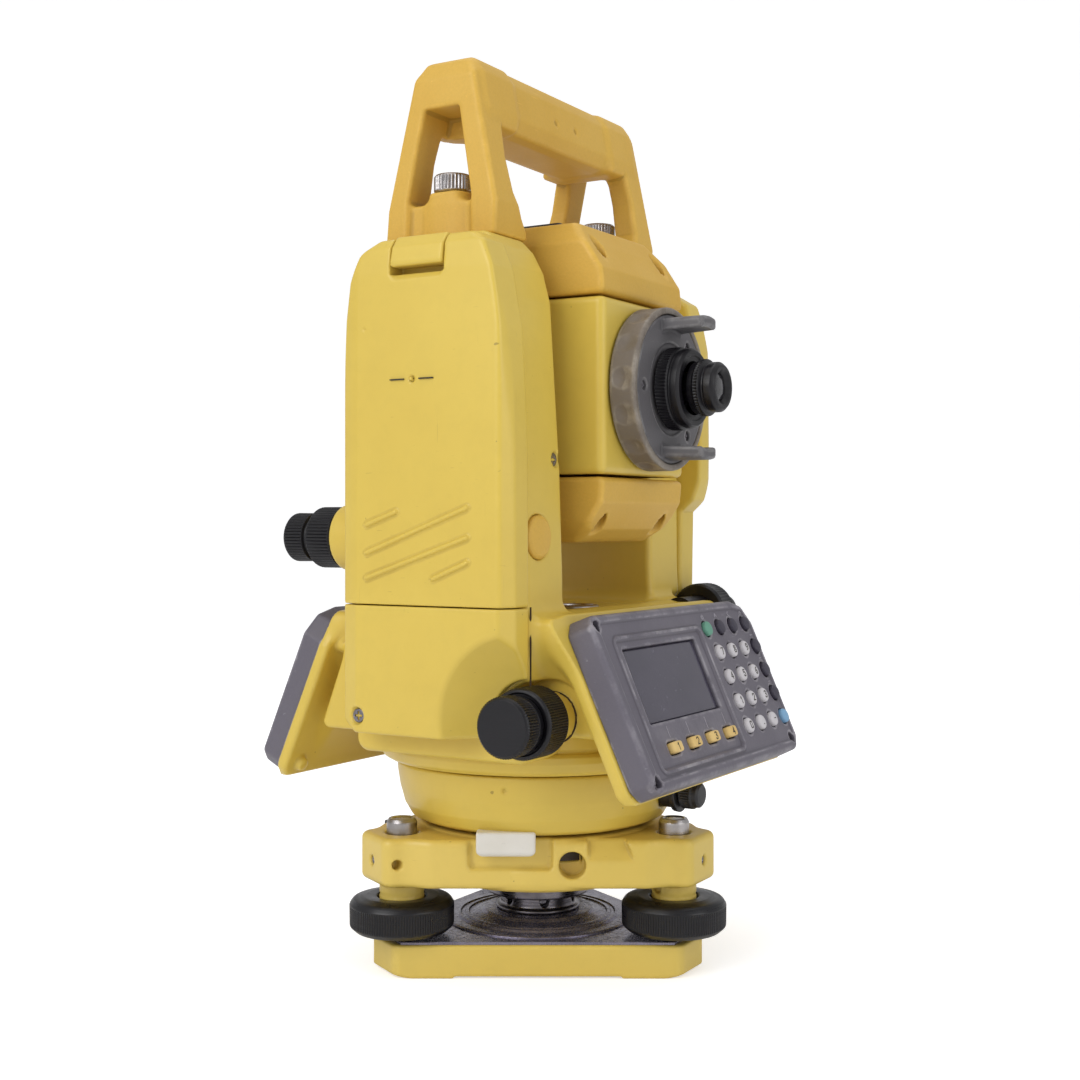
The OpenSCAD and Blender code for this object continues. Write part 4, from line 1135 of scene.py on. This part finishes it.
for tag, px in (("near", -55.0), ("far", 55.0)):
    turned(
        f"thumb_screw_{tag}",
        [(3, 256), (3, 287.3), (6.2, 287.3, 0.3), (7, 288.1, 0.4), (7, 293.2, 0.5), (6.2, 294, 0.5),
         (2.2, 294, 0.2), (1.8, 293.2, 0.2), (0, 293.2)],
        f"thumb_{tag}", STEEL, (f"handle_screw_{tag}",), "steel", at=(px, 3, 0),
        knurl=(288.0, 293.4, 30, 0.55),
    )


# ---------------------------------------------------------------- knobs

# piece, body, CAD node, axis, position, knurl, profile
KNOBS = (
    ("horizontal_clamp_ring", "h_clamp", "horizontal_clamp", "-x", (0, *HK), (66.8, 78.2, 84, 0.4),
     [(7.1, 66.2), (11.6, 66.2, 0.3), (12.3, 66.9, 0.3), (12.3, 78.1, 0.3), (11.7, 78.8, 0.2),
      (10.8, 79, 0.2),
      (10.4, 78.2, 0.2), (7.1, 78.2), (7.1, 66.2)]),
    ("horizontal_tangent_head", "h_tangent", "horizontal_tangent", "-x", (0, *HK), (82.9, 89.3, 66, 0.4),
     [(4, 40), (4, 78.9), (9.6, 78.9, 0.3), (9.8, 81.6, 0.3), (9.2, 81.9, 0.2), (9.2, 82.5, 0.2),
      (10.4, 83.0, 0.3), (10.5, 89.1, 0.2), (9.9, 89.8, 0.2), (9.4, 90.3, 0.2), (0, 90.3)]),
    ("vertical_clamp_ring", "v_clamp", "vertical_clamp", "y", (VK[0], 0, VK[1]), (48.3, 58.6, 56, 0.45),
     [(8.6, 47.5), (10.6, 47.5, 0.3), (11.5, 48.4, 0.4), (11.5, 58.4, 0.5), (10.5, 59.4, 0.4), (8.6, 59.4),
      (8.6, 47.5)]),
    ("vertical_tangent_head", "v_tangent", "vertical_tangent", "y", (VK[0], 0, VK[1]), (62.7, 71, 48, 0.4),
     [(4, 22), (4, 60.1), (7.8, 60.1, 0.3), (8.0, 62.2, 0.3), (9.2, 62.8, 0.4), (9.3, 70.8, 0.7),
      (8.3, 71.9, 0.5), (0, 71.9)]),
    ("plummet_focus_rim", "plummet_focus", "plummet_focus_ring", "x", (0, *PL), (67.5, 77.3, 54, 0.45),
     [(7.1, 66.6), (11.0, 66.6, 0.3), (12, 67.6, 0.4), (12, 77.2, 0.6), (10.8, 78.2, 0.4), (7.1, 78.2),
      (7.1, 66.6)]),
    ("plummet_ocular", "plummet_eye", "plummet_eyepiece", "x", (0, *PL), (79.6, 87.2, 40, 0.4),
     [(5, 66), (5, 78.9), (7.4, 78.9, 0.3), (8, 79.6, 0.4), (8, 87, 0.6), (6.8, 87.8, 0.3), (6.6, 92.4, 0.6),
      (5.6, 93, 0.3), (4.2, 92.8, 0.3), (3.6, 90.8, 0.2), (0, 90.8)]),
    ("eyepiece_bayonet", "eye_mount", "eyepiece_mount", "-y", (0, 0, TILT_Z), (59.0, 63.4, 72, 0.3),
     [(10.1, 58.5), (14.9, 58.5, 0.4), (15.5, 59.1, 0.3), (15.5, 63.2, 0.3), (14.9, 63.7, 0.2),
      (14.3, 63.9, 0.2), (14.3, 64.7, 0.2), (14.9, 65.0, 0.3), (14.9, 67.2, 0.5), (13.9, 68.2, 0.4),
      (12.2, 68.2, 0.2), (11.9, 67.6, 0.2), (10.1, 67.6), (10.1, 58.5)]),
    ("eyepiece_tube", "ocular", "eyepiece", "-y", (0, 0, TILT_Z), (71.8, 73.7, 56, 0.35),
     [(6, 50), (6, 68.8), (9.6, 68.9, 0.3), (9.8, 71.0, 0.3), (10.3, 71.4, 0.3), (10.6, 72.0, 0.2),
      (10.6, 73.6, 0.3), (9.6, 74.0, 0.3), (8.7, 74.4, 0.2), (8.7, 75.0, 0.2), (9.3, 75.5, 0.4),
      (9.3, 78.2, 1.1), (8.0, 79.6, 0.8), (6.6, 79.6, 0.5), (5.2, 77.9, 0.5), (4.9, 77.0, 0.2), (0, 77.0)]),
)
for name, body, node, axis, at, knurl, profile in KNOBS:
    turned(name, profile, body, BLACK, (node,), "black_metal", axis=axis, at=at, knurl=knurl)
turned(
    "plummet_tube", [(5.1, 49), (7, 49), (7, 78.3, 0.4), (5.1, 78.3), (5.1, 49)],
    "alidade", BLACK, ("plummet_barrel",), "black_metal", axis="x", at=(0, *PL), seg=72,
)


# ---------------------------------------------------------------- levelling base


def tri(u, v, a, b, r):
    """Distance to a triangle with cut corners, a to the long sides, b to the short ones."""
    parts = []
    for k in range(3):
        w = turn(u, v, 120 * k)[0]
        parts += [w - a, -w - b]
    return both(r, *parts)


def base_plate_field(x, y, z):
    u, v = turn(x, y, BASE_TURN)
    d = both(1.0, tri(u, v, 42, 67.3, 2.6), slab(z, 0, 12.2))
    for k in range(3):
        w, t = turn(u, v, 120 * k)
        d = both(1.2, d, ((-w - 67.3) + np.clip(1.6 - z, 0, 9) * 2.6) * 0.45)
        d = pocket(d, 0.5, 0.8, slab(t, -31, 31), z - 0.9, 34 - w)
    d = pocket(d, 0.6, 0.2, ring(x, y, 0, 0) - 17.0, slab(z, -2, 14))
    for foot in FEET:
        d = pocket(d, 0.4, 0.2, ring(x, y, *foot) - 5.1, 9 - z)
    return d


moulded(
    "base_plate_casting", base_plate_field, (-70, -70, -0.1), (70, 70, 12.4), 0.75,
    "base", YELLOW_BASE, ("base_plate",),
)


def sheet(name, loops, z0, z1, bevel, body, mat, nodes):
    """Flat plate: first loop is the outline, the others are holes; the top edge is broken."""
    verts, faces = [], []
    starts = []
    for k, loop in enumerate(loops):
        c = np.mean(loop, 0)
        out = np.asarray(loop) - c
        away = out / np.linalg.norm(out, axis=1)[:, None] * (-bevel if k == 0 else bevel)
        starts.append((len(verts), len(loop)))
        for pts, z in ((loop, z0), (loop, z1 - bevel), (np.asarray(loop) + away, z1)):
            verts += [(px, py, z) for px, py in pts]
    for k, (s0, n) in enumerate(starts):
        for row in range(2):
            for i in range(n):
                j = (i + 1) % n
                a, b_ = s0 + row * n + i, s0 + row * n + j
                quad = (a, b_, b_ + n, a + n)
                faces.append(quad if k == 0 else quad[::-1])
    for row, flip in ((0, True), (2, False)):
        polys = [[Vector((*verts[s0 + row * n + i][:2], 0)) for i in range(n)] for s0, n in starts]
        flat = [s0 + row * n + i for s0, n in starts for i in range(n)]
        for t in tessellate_polygon(polys):
            f = [flat[i] for i in t]
            p, q, r = (np.array(verts[i][:2]) for i in f)
            up = (q[0] - p[0]) * (r[1] - p[1]) - (q[1] - p[1]) * (r[0] - p[0]) > 0
            faces.append(tuple(f) if up != flip else tuple(f[::-1]))
    return dress(new_object(name, np.array(verts, float), faces, body, mat, smooth=False), nodes)


def circle_loop(cx, cy, r, n=48):
    steps = [2 * math.pi * i / n for i in range(n)]
    return [(cx + r * math.cos(t), cy + r * math.sin(t)) for t in steps]


def tri_loop(a, b):
    """Corner points of the triangle that tri() measures."""
    pts = []
    for phi in (60, 180, 300):
        e = np.array(polar(1, phi + BASE_TURN))
        w = np.array([-e[1], e[0]])
        t = (a - b / 2) / math.sin(math.radians(60))
        pts += [tuple(e * b - w * t), tuple(e * b + w * t)]
    return pts


sheet(
    "spring_plate_sheet",
    [tri_loop(40.8, 64.0), circle_loop(0, 0, 15.4, 72)] + [circle_loop(*foot, 4.4, 32) for foot in FEET],
    12.25, 13.3, 0.25, "base", CHROME, ("spring_plate",),
)
turned(
    "spring_plate_dish",
    [(14.9, 12.3), (37.0, 12.3), (37.0, 13.7, 0.2), (36.2, 14.1, 0.2), (31.9, 14.2, 0.2), (31.2, 15.0, 0.2),
     (30.4, 15.1, 0.1), (29.9, 14.6, 0.1),
     (28.8, 14.6, 0.1), (28.4, 15.1, 0.1), (27.2, 15.2, 0.1), (26.8, 14.7, 0.1), (26.0, 14.8, 0.2),
     (22.4, 15.6, 0.8), (21.2, 16.7, 0.5),
     (15.6, 16.9, 0.2), (14.9, 16.4, 0.2), (14.9, 12.3)],
    "base", CHROME, slot="polished_steel", seg=180,
)


def post_field(x, y, z):
    r = ring(x, y, 0, 0)
    d = both(0.5, r - 17.0, slab(z, 0.0, 12.2))
    d = np.minimum(d, both(0.5, r - 14.7, slab(z, 8, 27)))
    d = np.minimum(d, both(0.5, r - 20.0, slab(z, 23.4, 28.2)))
    d = join(1.0, d, both(0.4, r - 16.4, slab(z, 17.0, 18.4)))
    d = pocket(d, 0.3, 0.1, r - 6.75 + 0.5 * np.abs(((z / 2.309) % 1.0) - 0.5), slab(z, -5, 18))
    d = pocket(d, 0.3, 0.1, r - 5.0, slab(z, 10, 40))
    for k in range(6):
        t, w = turn(x, y, BASE_TURN + 10 + 60 * k)
        d = pocket(d, 0.3, 0.1, ring(w, z, 0, 21.2) - 1.7, 10.5 - t)
    return d


moulded(
    "centre_post", post_field, (-20.6, -20.6, -0.1), (20.6, 20.6, 28.6), 0.5,
    "base", STEEL_DARK, ("thread_post",),
)

FOOT_PROFILE = [
    (3.6, 9), (3.6, 15.2), (17.2, 15.2, 1.0), (19.5, 17.2, 1.6), (19.6, 25.2, 1.2), (18.2, 27.4, 2.4),
    (13.5, 28.1, 1.5),
    (9.6, 28.1, 0.5), (9.0, 27.2, 0.3), (9.0, 21.5), (4, 21.5), (4, 50), (3.2, 51), (0, 51),
]
for tag, foot in zip(("left", "right", "back"), FEET):
    turned(
        f"foot_knob_{tag}", FOOT_PROFILE, f"foot_{tag}", BLACK_FOOT, (f"foot_screw_{tag}",), "black_metal",
        at=(*foot, 0), knurl=(17.2, 25.0, 120, 0.26),
    )


def tribrach_field(x, y, z):
    u, v = turn(x, y, BASE_TURN)
    plan = tri(u, v, 46.5, 60.0, 4.0)
    r = ring(x, y, 0, 0)
    plan = np.minimum(plan, r - 47.5)
    for k in ARM_DIRS:
        w, t = turn(u, v, k)
        arm = rect(w, t, 30, FOOT_R + 12.3, -12.5, 12.5, 4.5)
        plan = join(9.0, plan, arm)
    d = both(2.4, plan, slab(z, 33.8, 51.6))
    d = join(1.0, d, both(1.2, r - 46.5, slab(z, 33, 52.2)))
    for k in ARM_DIRS:
        w, t = turn(u, v, k)
        rr = ring(w, t, FOOT_R, 0)
        d = np.minimum(d, both(0.5, rr - 8.4, slab(z, 25.6, 33)))
        d = pocket(d, 0.25, 0.1, np.abs(rr - 8.6) - 0.5, slab(z, 28.6, 29.2))
        d = pocket(d, 0.5, 0.2, rr - 6.3, 50.6 - z)
        d = pocket(d, 0.2, 0.1, rr - 5.75, 46 - z)
        d = pocket(d, 0.2, 0.1, rr - 4.1, slab(z, 20, 60))
        d = pocket(d, 0.3, 0.2, ring(t, z, 0, 42.3) - 1.8, w - 90, FOOT_R + 6 - w)
        if k == ARM_DIRS[0]:
            d = pocket(d, 0.3, 0.2, ring(w, z, FOOT_R + 7.6, 42.3) - 1.9, 8 - t)
        if k == ARM_DIRS[1]:
            d = pocket(d, 0.3, 0.2, ring(w, z, FOOT_R - 3.6, 31.2) - 1.9, t + 4.5)
    # hollow for the instrument feet, clamp ring and lever slot
    d = pocket(d, 0.6, 0.2, r - 37, 42 - z)
    d = cut(0.3, d, r - 16)
    d = pocket(d, 0.2, 0.1, r - 42, slab(z, 43, 48.5))
    ang = (np.degrees(np.arctan2(y, x)) - 90) * math.pi / 180 * 48
    d = pocket(d, 0.4, 0.2, np.abs(ang + 1.0) - 20.5, slab(z, 43, 48.5), 41.5 - r)
    # hub hangs a little lower than the arms
    d = join(2.0, d, both(2.0, r - 42, slab(z, 31.4, 38)))
    d = cut(0.3, d, r - 16)
    # front: notch, round port, shoulder on the left and scoop on the right
    notch = both(2.0, slab(v, -25.4, 5.4), 41.0 - z, 44.2 - u)
    d = cut(1.2, d, notch)
    d = pocket(d, 0.6, 0.3, ring(v, z, 12.6, 42.6) - 5.0, 39.5 - u)
    scoop = both(1.2, slab(v, 18.2, 35.5 - (z - 44) * 0.45), 44.2 - z, 46.3 - (z - 44.2) * 0.62 - u)
    d = cut(1.0, d, scoop)
    return d


moulded(
    "tribrach_casting", tribrach_field, (-74, -74, 25), (74, 74, 52.4), 0.8,
    "tribrach", YELLOW_BASE, ("tribrach_body",),
)

for k, foot in enumerate(FEET):
    turned(
        f"foot_cap_{k + 1}",
        [(4.4, 46), (5.7, 46), (5.7, 55.6, 0.9), (4.9, 57, 0.4), (4.0, 57, 0.3), (3.6, 56.6, 0.2), (0, 56.6)],
        "tribrach", STEEL, ("tribrach_fittings",), "steel", at=(*foot, 0), seg=72,
    )
    out = Vector((*polar(1, FOOT_DIRS[k]), 0))
    verts, faces = lathe([(0.5, 0), (1.6, 0), (1.6, 2.4, 0.2), (0.8, 2.6), (0.7, 1.6), (0, 1.6)], seg=24)
    rot = out.to_track_quat("Z", "Y").to_matrix()
    verts = np.array([rot @ Vector(p) for p in verts]) + np.array([*foot, 42.3]) + np.array(out) * 9.0
    dress(new_object(f"arm_screw_{k + 1}", verts, faces, "tribrach", STEEL_DARK), ())


def drum_field(x, y, z):
    r = ring(x, y, 0, 0)
    u, v = turn(x, y, BASE_TURN)
    wall = [(14, 53.5), (46, 53.5), (49.6, 55.0), (52.2, 59.5), (54.0, 66), (54.8, 71), (55, 73), (55, 76),
            (14, 76)]
    d = outline(r, z, wall, 0.8)
    d = pocket(d, 0.5, 0.3, slab(v, -22.6, -0.6), 55.8 - z, z - 55.8, 42.8 - u)
    d = pocket(d, 0.3, 0.1, ring(x, z, 5, 65.5) - 5.6, y + 42)
    d = cut(0.2, d, length(u - 53.6, v + 12.2, z - 71.0) - 1.1)
    return d


moulded(
    "base_drum", drum_field, (-56, -56, 53), (56, 56, 76.2), 0.75,
    "instrument", YELLOW, ("lower_base",),
)


def key_block_field(x, y, z):
    u, v = turn(x, y, BASE_TURN)
    d = both(1.0, rect(v, z, -22.4, -0.8, 46.6, 60, 2.6), z - 55.6, slab(u, 42.9, 51.4))
    return both(0.6, d, (47.6 - z) * 0.7 + (u - 51.0) * 0.7)


moulded(
    "alignment_key", key_block_field, (-57, -30, 46), (-34, 0, 56.2), 0.4,
    "instrument", WHITE, ("alignment_block",),
)
turned(
    "serial_socket",
    [(3.7, 50), (5.5, 45), (5.5, 57.8), (6.8, 58.1, 0.3), (7.0, 60.2, 0.4), (3.7, 60.4), (3.7, 50)],
    "instrument", BLACK_PLASTIC, ("serial_connector",), "black_plastic", axis="-y", at=(5, 0, 65.5), seg=64,
)
turned(
    "serial_cap_knob",
    [(0, 52), (3.5, 52), (3.5, 60.9), (5.0, 60.9, 0.2), (5.4, 61.4, 0.3), (5.4, 65.6, 0.4),
     (4.8, 66.3, 0.3), (4.7, 67.8, 0.4), (3.8, 68.6, 0.3), (0, 68.6)],
    "cap", BLACK_PLASTIC, ("serial_cap",), "black_plastic", axis="-y", at=(5, 0, 65.5),
    knurl=(61.5, 65.6, 30, 0.4),
)

# ---------------------------------------------------------------- small fixed parts

turned(
    "access_plug_cap", [(0, 33), (7.7, 33), (7.7, 37.4, 0.3), (7.4, 37.9, 0.4), (6.4, 38.5, 0.6), (0, 38.8)],
    "alidade", AMBER, ("access_plug",), "amber_plastic", axis="-y", at=(-61.5, 0, 162.5), seg=64,
)


def screw_head(name, at, direction, r, body):
    """Cross-recessed head; direction is the outward normal."""

    def field(x, y, z):
        d = both(0.3, ring(x, y, 0, 0) - r, slab(z, -1.6, 0))
        for a, b in ((x, y), (y, x)):
            d = pocket(d, 0.08, 0.05, np.abs(a) - r * 0.16, np.abs(b) - r * 0.62, -0.8 - z)
        return d

    rot = np.array(Vector(direction).to_track_quat("Z", "Y").to_matrix())

    def place(p):
        return p @ rot.T + np.asarray(at, float)

    lo, hi = (-r, -r, -1.7), (r, r, 0.1)
    return moulded(name, field, lo, hi, 0.22, body, STEEL_DARK, place=place, reach=0.3)


heads = [screw_head("cover_screw", (-84.0, 24, 99), (-1, 0, 0), 2.5, "alidade")]
heads.append(screw_head("standard_screw", (-47.5, -35.0, 190), (0, -1, 0), 2.5, "alidade"))
for side, tag in SIDES:
    for i, p in enumerate(PANEL_SCREWS):
        at = panel_place(side)(np.array([[p[0], p[1], 4.2]]))[0]
        n = (0, -COS_L if not side else COS_L, SIN_L)
        heads.append(screw_head(f"{tag}_panel_screw_{i + 1}", at, n, 2.1, "alidade"))
for ob in heads:
    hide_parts("fixing_screws")
for i, (cx, cz) in enumerate(GRIP_SCREWS):
    screw_head(f"grip_screw_{i + 1}", (cx, -57.3, TILT_Z + cz), (0, -1, 0), 1.7, "telescope")

turned(
    "level_bezel", [(6.5, 130.6), (9, 130.6), (9, 135.6, 0.5), (8.2, 136.2, 0.4), (6.9, 136.2, 0.3),
                    (6.5, 135.4), (6.5, 130.6)],
    "alidade", STEEL, ("circular_level",), "steel", at=(-5, -20, 0), seg=64,
)


def level_glass():
    n = Net("level_fluid")
    n.set(Base_Color=n.mix(n.ramp(n.noise(40, 2), 0.3, 0.7), srgb(190, 205, 90), srgb(168, 188, 70)))
    n.set(Roughness=n.ramp(n.noise(90, 2), 0.3, 0.7, 0.04, 0.1), Coat_Weight=1.0)
    return n.mat


turned(
    "level_vial", [(0, 130.8), (6.4, 130.8), (6.4, 134.9, 0.3), (4.5, 135.5), (2.4, 135.8), (0, 135.9)],
    "alidade", level_glass(), slot="level_glass", at=(-5, -20, 0), seg=48,
)

# ---------------------------------------------------------------- engraved and printed marks

INK_DARK = smooth_plastic("mark_dark", srgb(52, 44, 32), srgb(40, 34, 26), rough=0.6, seed=8)
DIGITS = {
    "0": [[(0.15, 0), (0.85, 0), (1, 0.25), (1, 1.35), (0.85, 1.6), (0.15, 1.6), (0, 1.35), (0, 0.25),
           (0.15, 0)]],
    "1": [[(0.2, 1.25), (0.55, 1.6), (0.55, 0)]],
    "2": [[(0, 1.3), (0.2, 1.6), (0.8, 1.6), (1, 1.3), (1, 1.0), (0, 0), (1, 0)]],
    "3": [[(0, 1.45), (0.25, 1.6), (0.8, 1.6), (1, 1.3), (0.75, 0.85), (0.35, 0.85)],
          [(0.75, 0.85), (1, 0.5), (0.8, 0), (0.2, 0), (0, 0.2)]],
    "4": [[(0.75, 0), (0.75, 1.6), (0, 0.45), (1, 0.45)]],
    "5": [[(0.95, 1.6), (0.1, 1.6), (0.05, 0.9), (0.7, 1.0), (1, 0.6), (0.8, 0), (0.2, 0), (0, 0.2)]],
    "6": [[(0.85, 1.6), (0.3, 1.3), (0, 0.5), (0.2, 0), (0.8, 0), (1, 0.4), (0.8, 0.85), (0.1, 0.75)]],
    "7": [[(0, 1.6), (1, 1.6), (0.4, 0)]],
    "8": [[(0.5, 0.85), (0.1, 1.15), (0.15, 1.6), (0.85, 1.6), (0.9, 1.15), (0.5, 0.85), (0, 0.45),
           (0.15, 0), (0.85, 0),
           (1, 0.45), (0.5, 0.85)]],
    "9": [[(0.15, 0), (0.7, 0.3), (1, 1.1), (0.8, 1.6), (0.2, 1.6), (0, 1.2), (0.2, 0.75), (0.9, 0.85)]],
    "-": [[(0.1, 0.8), (0.9, 0.8)]],
    ".": [[(0.4, 0.1), (0.6, 0.1)]],
}


def strokes(name, lines, width, h0, h1, place, body, mat):
    """Raised thin strokes along 2-D lines, each segment a small closed prism."""
    verts, faces = [], []
    for line in lines:
        for (x0, y0), (x1, y1) in zip(line, line[1:]):
            n = math.hypot(x1 - x0, y1 - y0)
            tx, ty = (x1 - x0) / n, (y1 - y0) / n
            e = width / 2
            pts = [(x0 - tx * e + ty * e, y0 - ty * e - tx * e), (x1 + tx * e + ty * e, y1 + ty * e - tx * e),
                   (x1 + tx * e - ty * e, y1 + ty * e + tx * e), (x0 - tx * e - ty * e, y0 - ty * e + tx * e)]
            b = len(verts)
            verts += [(px, py, h0) for px, py in pts] + [(px, py, h1) for px, py in pts]
            faces += [(b + 3, b + 2, b + 1, b), (b + 4, b + 5, b + 6, b + 7)]
            faces += [(b + i, b + (i + 1) % 4, b + 4 + (i + 1) % 4, b + 4 + i) for i in range(4)]
    dress(new_object(name, place(np.array(verts, float)), faces, body, mat, smooth=False), ())


def digit(text, cx, cy, size):
    return [[(cx + (px - 0.5) * size, cy + (py - 0.8) * size) for px, py in line] for line in DIGITS[text]]


KEYPAD = ["789", "456", "123", "0.-"]
for side, tag in SIDES:
    lines = []
    for row, text in enumerate(KEYPAD):
        for col, ch in enumerate(text):
            lines += digit(ch, *GRID[col, row], 1.55)
    strokes(f"{tag}_key_digits", lines, 0.42, 7.2, 7.38, panel_place(side),
            "rear_round" if side else "numbers", INK_DARK)
    lines = []
    for i, p in enumerate(F_KEYS):
        lines += digit(str(i + 1), *p, 1.5)
    strokes(f"{tag}_function_digits", lines, 0.4, 7.2, 7.38, panel_place(side),
            "rear_functions" if side else "functions", INK_DARK)
    lines = []
    for i, (px, pv) in enumerate(TOP_ROW[1:]):
        up = pv + 5.0
        lines.append([(px - 0.9, up - 0.5), (px, up + 0.7), (px + 0.9, up - 0.5)] if i % 2 == 0 else
                     [(px + 0.5, up - 0.9), (px - 0.6, up), (px + 0.5, up + 0.9)])
    px, pv = TOP_ROW[0]
    lines.append([(px - 0.7, pv + 5.4), (px - 0.9, pv + 4.6), (px, pv + 4.0), (px + 0.9, pv + 4.6),
                  (px + 0.7, pv + 5.4)])
    lines.append([(px, pv + 4.9), (px, pv + 5.8)])
    for row in range(3):
        px, pv = GRID[3, row]
        lines.append([(px - 0.8, pv + 4.9), (px + 0.8, pv + 4.9)])
    strokes(f"{tag}_panel_marks", lines, 0.32, 5.6, 5.82, panel_place(side), "alidade", PANEL_INK)
    lines = [[(px, -48.8), (px, -44.6)] for px, pv in F_KEYS]
    strokes(f"{tag}_panel_ticks", lines, 0.22, 5.1, 5.3, panel_place(side), "alidade", PANEL_INK)


def on_battery(p):
    """Maps (y, z, out) onto the flat face of the battery."""
    return np.stack([-BATT_X - p[:, 2], p[:, 0], p[:, 1]], 1)


# painted shadow: a dark strip for the shade in the gap between the lower cover and the frame
strokes(
    "cover_seam_shadow", [[(-39.25, 108), (-39.25, 138.4)]], 0.5, -15.62, -15.2, on_battery, "alidade", SHADE,
)
strokes(
    "tilt_mark_dashes", [[(8.9, TILT_Z), (3.4, TILT_Z)], [(-3.4, TILT_Z), (-8.9, TILT_Z)]], 0.45, -0.5, 0.05,
    on_battery, "battery", INK_DARK,
)

# CAD nodes that stay as they are, with finished materials
KEEP = {
    # the clamp lever's dark steel is painted shade for the notch it shows through
    "clamp_lever": STEEL_SHADED, "base_studs": STEEL, "horizontal_circle": GLASS, "vertical_spindle": STEEL,
    "circuit_board": BOARD, "tilt_bearings": STEEL_DARK, "tilt_axles": STEEL, "vertical_circle": GLASS,
    "focusing_lens": GLASS,
}
for name, mat in KEEP.items():
    ob = NODES[name]
    ob.data.materials.clear()
    ob.data.materials.append(mat)


# ---------------------------------------------------------------- stage, light, camera


VIEW = Vector((0.8568, 0.5156, 0))
FLOOR_HALF, FLOOR_RUN, WALL_R, WALL_TOP = 6.0, 2.6, 1.4, 5.0


def stage():
    """Paper sweep that follows the viewing direction."""
    me = bpy.data.meshes.new("studio_floor")
    curve = np.linspace(0, math.pi / 2, 14)[1:]
    prof = [(-FLOOR_HALF, 0.0), (FLOOR_RUN, 0.0)]
    prof += [(FLOOR_RUN + WALL_R * math.sin(t), WALL_R - WALL_R * math.cos(t)) for t in curve]
    prof.append((FLOOR_RUN + WALL_R, WALL_TOP))
    across = Vector((-VIEW.y, VIEW.x, 0))
    verts, faces = [], []
    for u, z in prof:
        for k in (-FLOOR_HALF, FLOOR_HALF):
            p = VIEW * u + across * k
            verts.append((p.x, p.y, z))
    for i in range(len(prof) - 1):
        faces.append((2 * i, 2 * i + 1, 2 * i + 3, 2 * i + 2))
    me.from_pydata(verts, [], faces)
    me.polygons.foreach_set("use_smooth", [True] * len(faces))
    ob = bpy.data.objects.new("studio_floor", me)
    bpy.context.scene.collection.objects.link(ob)
    n = Net("studio_paper")
    n.set(Base_Color=n.mix(n.ramp(n.noise(1.5, 2), 0.3, 0.7), (0.9, 0.9, 0.91), (0.88, 0.88, 0.89)),
          Roughness=0.9)
    seen = n.node("ShaderNodeLightPath").outputs["Is Camera Ray"]
    n.set(Emission_Color=(1.0, 1.0, 1.0), Emission_Strength=n.ramp(seen, 0.0, 1.0, 0.04, 0.5))
    me.materials.append(n.mat)


def area(name, loc, target, size, power, colour=(1, 1, 1)):
    li = bpy.data.lights.new(name, "AREA")
    li.shape = "RECTANGLE"
    li.size, li.size_y = size
    li.energy = power
    li.color = colour
    ob = bpy.data.objects.new(name, li)
    ob.location = loc
    ob.rotation_euler = (Vector(target) - Vector(loc)).to_track_quat("-Z", "Y").to_euler()
    bpy.context.scene.collection.objects.link(ob)


SKY_LIGHT, SKY_SEEN = 0.52, 1.0  # strength as a light, and as the background in view

stage()
area("key_light", (-1.5, 0.3, 1.0), (0, 0, 0.17), (1.2, 1.2), 13.4)
area("fill_light", (-0.2, -1.8, 0.7), (0, 0, 0.15), (1.1, 1.3), 7)
area("top_light", (0.1, 0.0, 1.9), (0, 0, 0.1), (1.6, 1.6), 8)
world = bpy.data.worlds.new("studio")
world.use_nodes = True
sky = world.node_tree.nodes["Background"]
sky.inputs["Color"].default_value = (1, 1, 1, 1)
seen = world.node_tree.nodes.new("ShaderNodeLightPath")
level = world.node_tree.nodes.new("ShaderNodeMapRange")
level.inputs["To Min"].default_value, level.inputs["To Max"].default_value = SKY_LIGHT, SKY_SEEN
world.node_tree.links.new(seen.outputs["Is Camera Ray"], level.inputs["Value"])
world.node_tree.links.new(level.outputs["Result"], sky.inputs["Strength"])
bpy.context.scene.world = world
bpy.context.scene.view_settings.view_transform = "Standard"

cam = bpy.data.cameras.new("camera")
cam.sensor_width = 36.0
cam.lens = 51.32
cam.shift_x, cam.shift_y = 0.00185, -0.0169
cam.clip_start = 0.01
cam_ob = bpy.data.objects.new("camera", cam)
cam_ob.location = (-0.5201, -0.3130, 0.1679)
cam_ob.rotation_euler = VIEW.to_track_quat("-Z", "Y").to_euler()
bpy.context.scene.collection.objects.link(cam_ob)
bpy.context.scene.camera = cam_ob
